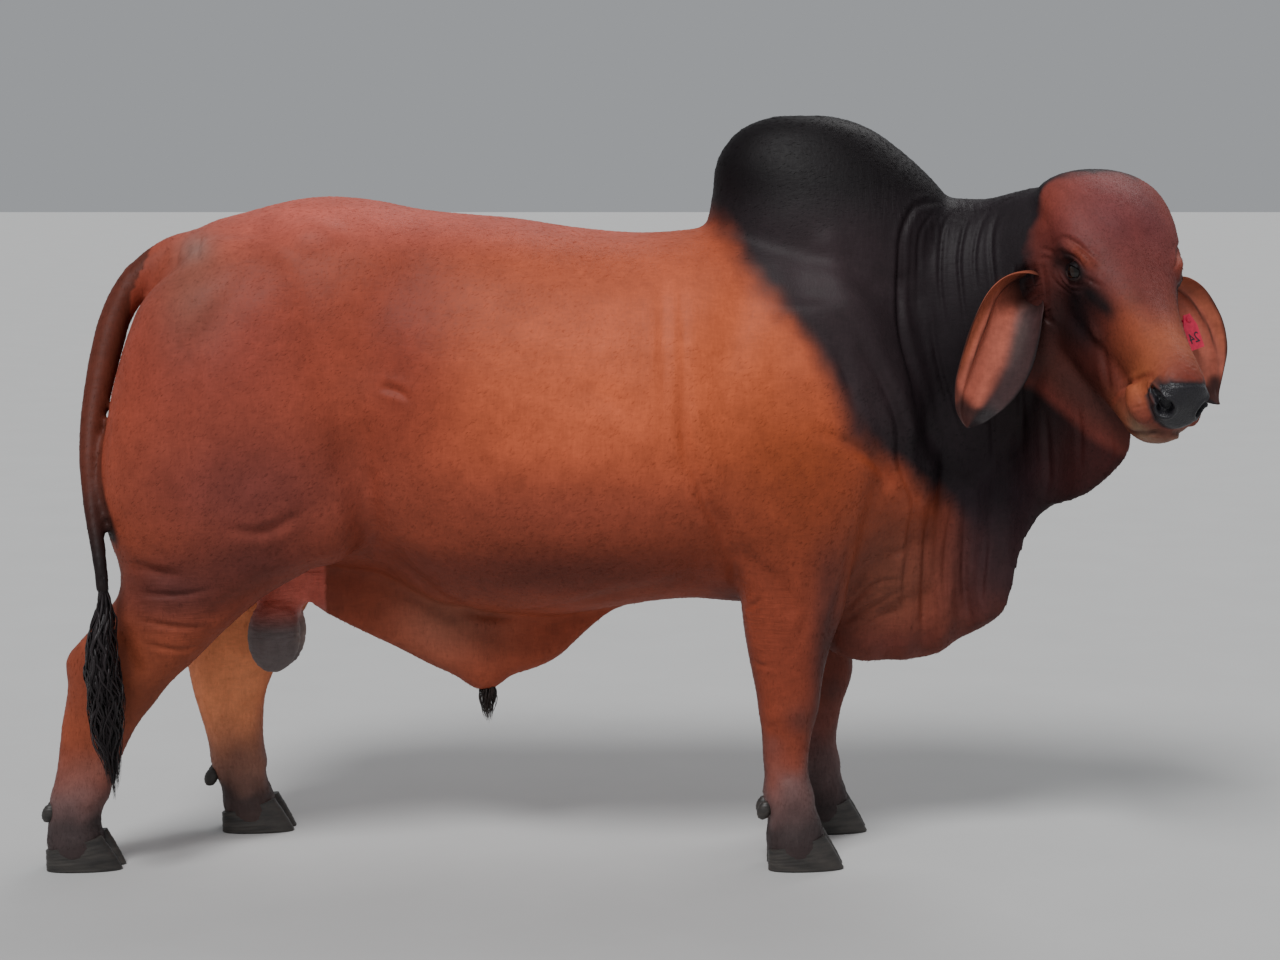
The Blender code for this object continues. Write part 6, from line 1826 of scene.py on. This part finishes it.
def hair_locks(name, rows, plans, width, seed, wave, colour):
    """Long wavy locks hung round a path of rows: x, y, z, half depth, half width."""
    draw = np.random.default_rng(seed)
    steps, around = LOCK_STEPS, LOCK_SIDES
    points, faces, roots, shades = [], [], [], []
    total = 0
    turn = np.linspace(0, 2 * math.pi, around, endpoint=False)
    for root_low, root_high, tip_low, tip_high, count in plans:
        for _ in range(count):
            angle = draw.uniform(0, 2 * math.pi)
            root = draw.uniform(root_low, root_high)
            tip = draw.uniform(tip_low, tip_high)
            depth = draw.uniform(0.30, 1.0)
            height = np.linspace(root, tip, steps)
            part = np.linspace(0, 1, steps)
            shape = [np.interp(-height, -rows[:, 2], rows[:, column]) for column in range(5)]
            phase = draw.uniform(0, 6.28)
            speed = draw.uniform(34, 52)
            bend = wave * np.sin(phase + speed * (root - height)) * np.clip(part * 3, 0, 1)
            reach = (0.30 + (depth - 0.30) * np.clip(part * 3.5, 0, 1)) * (1 - 0.12 * part**2)
            drift = draw.normal(0, 0.10)
            out_x, out_y = np.cos(angle + bend + drift * part), np.sin(angle + bend + drift * part)
            ripple = 0.0022 * np.sin(phase * 2 + 1.9 * speed * (root - height)) * np.clip(part * 3, 0, 1)
            path = np.stack([
                shape[0] + out_x * (reach * (shape[3] - 0.002)) + ripple,
                shape[1] + out_y * (reach * (shape[4] - 0.002)) - ripple,
                height,
            ], axis=1)
            size = width * draw.uniform(0.6, 1.3) * np.clip(1.05 - part**1.6, 0.05, 1)
            size = size * np.clip(0.5 + 3 * part, 0, 1)
            along = np.gradient(path, axis=0)
            along /= np.linalg.norm(along, axis=1)[:, None]
            outs = np.stack([out_x, out_y, np.zeros(steps)], axis=1)
            wide = np.cross(along, outs)
            wide /= np.linalg.norm(wide, axis=1)[:, None]
            face = np.cross(wide, along)
            ring = (
                path[:, None]
                + wide[:, None] * (np.cos(turn)[None, :, None] * size[:, None, None] / 2)
                + face[:, None] * (np.sin(turn)[None, :, None] * size[:, None, None] * 0.22)
            )
            points.append(ring.reshape(-1, 3))
            grid = total + np.arange(steps * around).reshape(steps, around)
            low, high = grid[:-1], grid[1:]
            nxt_low, nxt_high = np.roll(low, -1, axis=1), np.roll(high, -1, axis=1)
            faces.append(np.stack([low, nxt_low, nxt_high], axis=-1).reshape(-1, 3))
            faces.append(np.stack([low, nxt_high, high], axis=-1).reshape(-1, 3))
            for ends, flip in ((grid[0], True), (grid[-1], False)):
                cap = np.array([(ends[0], ends[step], ends[step + 1]) for step in range(1, around - 1)])
                faces.append(cap[:, ::-1] if flip else cap)
            total += steps * around
            roots.append(np.repeat([[angle / 6.2832, (root - rows[-1, 2]) / 0.5]], steps * around, axis=0))
            shades.append(np.full(steps * around, draw.uniform(0.6, 1.5)))
    points, faces = np.vstack(points), np.vstack(faces)
    thing = fast_mesh(name, points, faces[:, ::-1])
    shade = np.concatenate(shades)[:, None]
    paint(thing.data, "Tone", np.clip(np.array(colour) * shade, 0, 1))
    layer = thing.data.uv_layers.new(name="OFBake")
    spot = np.vstack(roots) * np.array([0.9, 0.9]) + 0.003 * (np.arange(total) % 3 / 3)[:, None]
    layer.data.foreach_set("uv", np.clip(spot[faces[:, ::-1].reshape(-1)], 0, 1).astype(np.float32).ravel())
    return thing


def tag_frame():
    """The tag's frame: X across it, Y out of its face, Z down it."""
    axis = ear_path(LEFT, 33)
    at = int(TAG_AT * 32)
    tangent = Vector(axis[at + 1] - axis[at - 1]).normalized()
    tangent = (tangent - Vector((0.0, 0.0, TAG_DROP))).normalized()
    opens = Vector(EAR_OPENS)
    opens = (opens - tangent * opens.dot(tangent)).normalized()
    wide = opens.cross(tangent)
    frame = Matrix((wide, opens, tangent)).transposed().to_4x4()
    frame.translation = Vector(axis[at]) + wide * TAG_ASIDE
    return level_head_matrix() @ frame


def tag_number():
    """A plain number, raised a little on the tag."""
    curve = bpy.data.curves.new("tag_number", "FONT")
    curve.body = TAG_NUMBER
    curve.size = TAG_NUMBER_SIZE
    curve.align_x = "CENTER"
    curve.align_y = "CENTER"
    curve.extrude = TAG_PRINT_HALF
    thing = add_object("tag_number", curve)
    mesh = bpy.data.meshes.new_from_object(thing)
    bpy.data.objects.remove(thing)
    out = TAG_FRONT + TAG_SIZE[2] + TAG_PRINT_GAP
    face = Matrix(((-1, 0, 0, 0), (0, 0, 1, out), (0, -1, 0, TAG_NUMBER_DROP), (0, 0, 0, 1)))
    mesh.transform(tag_frame() @ face)
    return add_object("tag_number", mesh)


def new_material(name):
    made = bpy.data.materials.new(name)
    made.use_nodes = True
    tree = made.node_tree
    return made, tree, tree.nodes["Principled BSDF"]


def node(tree, kind, **inputs):
    made = tree.nodes.new(kind)
    for name, value in inputs.items():
        made.inputs[name].default_value = value
    return made


def noise_node(tree, scale, stretch, detail=3.0):
    """A noise over the object's own space, stretched by a factor for each axis."""
    place = tree.nodes.new("ShaderNodeTexCoord")
    mapping = node(tree, "ShaderNodeMapping", Scale=stretch)
    made = node(tree, "ShaderNodeTexNoise", Scale=scale, Detail=detail, Roughness=0.6)
    tree.links.new(place.outputs["Object"], mapping.inputs["Vector"])
    tree.links.new(mapping.outputs["Vector"], made.inputs["Vector"])
    return made.outputs["Fac"]


def maths(tree, operation, first, second):
    made = tree.nodes.new("ShaderNodeMath")
    made.operation = operation
    for socket, value in zip(made.inputs, (first, second)):
        if isinstance(value, (int, float)):
            socket.default_value = value
        else:
            tree.links.new(value, socket)
    return made.outputs[0]


def attribute(tree, name):
    made = tree.nodes.new("ShaderNodeAttribute")
    made.attribute_name = name
    return made


def scaled_range(tree, value, low, high):
    made = node(tree, "ShaderNodeMapRange")
    made.inputs["To Min"].default_value = low
    made.inputs["To Max"].default_value = high
    tree.links.new(value, made.inputs["Value"])
    return made.outputs["Result"]


def shade_colour(tree, colour, factor):
    """A colour multiplied by a grey value."""
    made = tree.nodes.new("ShaderNodeVectorMath")
    made.operation = "SCALE"
    tree.links.new(colour, made.inputs[0])
    tree.links.new(factor, made.inputs["Scale"])
    return made.outputs["Vector"]


def two_tone(tree, shader, factor, low, high, places=(0.0, 1.0)):
    """Gives the base colour a run between two colours."""
    ramp = tree.nodes.new("ShaderNodeValToRGB")
    for stop, spot, colour in zip(ramp.color_ramp.elements, places, (low, high)):
        stop.position = spot
        stop.color = (*colour, 1)
    tree.links.new(factor, ramp.inputs["Fac"])
    tree.links.new(ramp.outputs["Color"], shader.inputs["Base Color"])


def bump(tree, shader, height, distance, strength=1.0):
    made = node(tree, "ShaderNodeBump", Distance=distance, Strength=strength)
    tree.links.new(height, made.inputs["Height"])
    tree.links.new(made.outputs["Normal"], shader.inputs["Normal"])


def coat_material(name, roughness=0.52, with_detail=True):
    """Short hair: streaks along the lie, fine wrinkles where the masks ask for them."""
    made, tree, shader = new_material(name)
    tone = attribute(tree, "Tone").outputs["Color"]
    fine = noise_node(tree, 150.0, (0.35, 1.0, 1.0), 4.0)
    down = noise_node(tree, 150.0, (1.0, 1.0, 0.25), 4.0)
    hairs = maths(tree, "MULTIPLY", maths(tree, "ADD", fine, down), 0.5)
    mottle = noise_node(tree, 26.0, EVEN, 5.0)
    streaks, patches = scaled_range(tree, hairs, 0.62, 1.38), scaled_range(tree, mottle, 0.84, 1.16)
    shade = maths(tree, "MULTIPLY", streaks, patches)
    tree.links.new(shade_colour(tree, tone, shade), shader.inputs["Base Color"])
    height = maths(tree, "MULTIPLY", hairs, 0.8)
    if with_detail:
        masks = attribute(tree, "Detail")
        split = tree.nodes.new("ShaderNodeSeparateColor")
        tree.links.new(masks.outputs["Color"], split.inputs["Color"])
        upright = noise_node(tree, 70.0, (1.0, 0.25, 0.10), 3.0)
        level = noise_node(tree, 80.0, (0.15, 0.15, 1.0), 3.0)
        pores = noise_node(tree, 420.0, EVEN, 2.0)
        for wrinkle, mask, power in ((upright, "Red", 2.2), (level, "Green", 2.4), (pores, "Blue", 0.8)):
            part = maths(tree, "MULTIPLY", maths(tree, "MULTIPLY", wrinkle, power), split.outputs[mask])
            height = maths(tree, "ADD", height, part)
    bump(tree, shader, height, 0.0016, 0.8)
    rough = scaled_range(tree, hairs, roughness - 0.10, roughness + 0.14)
    tree.links.new(rough, shader.inputs["Roughness"])
    shader.inputs["Specular IOR Level"].default_value = 0.17
    return made


def tuft_material(name, roughness):
    made, tree, shader = new_material(name)
    tone = attribute(tree, "Tone").outputs["Color"]
    streak = noise_node(tree, 300.0, (1.0, 1.0, 0.3), 2.0)
    shade = scaled_range(tree, streak, 0.8, 1.2)
    tree.links.new(shade_colour(tree, tone, shade), shader.inputs["Base Color"])
    shader.inputs["Roughness"].default_value = roughness
    shader.inputs["Specular IOR Level"].default_value = 0.20
    return made


def nose_material():
    """Bare pebbled skin, moist, nearly black."""
    made, tree, shader = new_material("nose_leather")
    place = tree.nodes.new("ShaderNodeTexCoord")
    pebble = node(tree, "ShaderNodeTexVoronoi", Scale=330.0)
    tree.links.new(place.outputs["Object"], pebble.inputs["Vector"])
    two_tone(tree, shader, pebble.outputs["Distance"], (0.022, 0.020, 0.025), (0.006, 0.0055, 0.007))
    height = maths(tree, "SUBTRACT", 1.0, pebble.outputs["Distance"])
    bump(tree, shader, height, 0.0010, 0.9)
    wet = noise_node(tree, 60.0, EVEN, 3.0)
    tree.links.new(scaled_range(tree, wet, 0.30, 0.50), shader.inputs["Roughness"])
    shader.inputs["Coat Weight"].default_value = 0.10
    shader.inputs["Coat Roughness"].default_value = 0.15
    shader.inputs["Specular IOR Level"].default_value = 0.35
    return made


def eye_material():
    made, tree, shader = new_material("wet_eye")
    tone = attribute(tree, "Tone").outputs["Color"]
    spots = noise_node(tree, 260.0, EVEN, 3.0)
    shade = scaled_range(tree, spots, 0.7, 1.3)
    tree.links.new(shade_colour(tree, tone, shade), shader.inputs["Base Color"])
    shader.inputs["Roughness"].default_value = 0.07
    shader.inputs["Specular IOR Level"].default_value = 0.40
    return made


def horn_material():
    made, tree, shader = new_material("hoof_horn")
    rings = noise_node(tree, 30.0, (0.5, 0.5, 2.2), 4.0)
    grain = noise_node(tree, 260.0, (1.0, 1.0, 0.2), 3.0)
    two_tone(tree, shader, rings, (0.016, 0.014, 0.013), (0.055, 0.047, 0.041), (0.30, 0.75))
    bump(tree, shader, maths(tree, "ADD", rings, maths(tree, "MULTIPLY", grain, 0.4)), 0.0007, 0.8)
    tree.links.new(scaled_range(tree, grain, 0.36, 0.62), shader.inputs["Roughness"])
    return made


def plastic_material(name, colour, roughness):
    made, tree, shader = new_material(name)
    dirt = noise_node(tree, 70.0, EVEN, 4.0)
    grain = noise_node(tree, 900.0, EVEN, 2.0)
    two_tone(tree, shader, dirt, [value * 0.72 for value in colour], colour, (0.30, 0.60))
    bump(tree, shader, grain, 0.0001, 0.6)
    tree.links.new(scaled_range(tree, dirt, roughness - 0.06, roughness + 0.10), shader.inputs["Roughness"])
    return made


def stage_and_light():
    """A plain pale floor under soft lights."""
    bpy.ops.mesh.primitive_plane_add(size=FLOOR_SIZE, location=(0, 0, -FLOOR_GAP))
    floor = bpy.context.active_object
    floor.name = "floor"
    made, tree, shader = new_material("pale_floor")
    speck = noise_node(tree, 3.0, EVEN, 4.0)
    two_tone(tree, shader, speck, *FLOOR_TONES)
    shader.inputs["Roughness"].default_value = 0.85
    floor.data.materials.append(made)
    world = bpy.data.worlds.new("studio")
    world.use_nodes = True
    background = world.node_tree.nodes["Background"]
    background.inputs["Color"].default_value = SKY_COLOUR
    background.inputs["Strength"].default_value = SKY_STRENGTH
    bpy.context.scene.world = world
    for name, place, spread, power in LAMPS:
        lamp = bpy.data.lights.new(name, "SUN")
        lamp.energy = power
        lamp.angle = math.radians(spread)
        thing = add_object(name, lamp)
        thing.location = place
        thing.rotation_euler = Vector(place).to_track_quat("Z", "Y").to_euler()


def make_camera():
    """The photo's view: a long lens 6.3 m off, at eye height, tipped a little down."""
    lens = bpy.data.cameras.new("view")
    lens.sensor_width = SENSOR_WIDTH
    lens.lens = CAMERA_LENS
    thing = add_object("view", lens)
    thing.location = Vector(CAMERA_PLACE) + FRAME_SHIFT
    thing.rotation_euler = (math.radians(90.0 - CAMERA_DIP), 0, 0)
    bpy.context.scene.camera = thing


def place(thing, material, slot, *nodes):
    """Moves a finished piece into the part's frame and ties it to the body."""
    thing.data.transform(Matrix.Translation(FRAME_SHIFT))
    thing.data.materials.clear()
    thing.data.materials.append(material)
    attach(thing, "root")
    if nodes:
        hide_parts(*nodes)


def main():
    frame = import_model()
    skin = skin_shape()
    sculpt(skin)
    points, _ = vertex_arrays(skin.data)
    paint(skin.data, "Tone", tones(points))
    paint(skin.data, "Detail", detail_masks(points))
    skin.data.shade_smooth()
    skin.name = skin.data.name = "hide"
    tufted = coat(skin)
    nose = split_nose(skin)
    short_hair = coat_material("short_coat")
    place(skin, short_hair, "coat", *FLESH_NODES)
    fur = tuft_material("coat_tufts", 0.60)
    for piece in tufted:
        place(piece, fur, "coat")
    place(nose, nose_material(), "nose", "nose_pad")
    ear_hair = coat_material("ear_coat", 0.50, False)
    wet = eye_material()
    for side, name in SIDES:
        place(ear_piece(side, name), ear_hair, "coat", "ear_" + name)
        place(eyeball(side, name), wet, "wet", "eye_" + name)
    horn = horn_material()
    for piece, node_name in hoof_pieces():
        place(piece, horn, "horn", node_name)
    long_hair = tuft_material("long_hair", 0.38)
    x, y, z, radius = TAIL[-1]
    rows = smooth_rows(((x, y, z + 0.02, radius, radius), *SWITCH), 60)
    rows[:, 3:] *= SWITCH_LOOSE
    switch = hair_locks("switch_hair", rows, SWITCH_PLANS, *SWITCH_LOCKS, SWITCH_COLOUR)
    place(switch, long_hair, "hair", "tail_switch")
    rows = smooth_rows(TUFT, 30)
    tuft = hair_locks("sheath_hair", rows, TUFT_PLANS, *TUFT_LOCKS, SHEATH_HAIR_COLOUR)
    place(tuft, long_hair, "hair", "sheath_tuft")
    red = plastic_material("tag_plastic", TAG_RED, 0.38)
    for name in ("ear_tag", "ear_tag_stud"):
        frame["nodes"][name].data.materials[0] = red
    place(tag_number(), plastic_material("tag_print", TAG_PRINT_COLOUR, 0.5), "tag")
    stage_and_light()
    make_camera()


main()
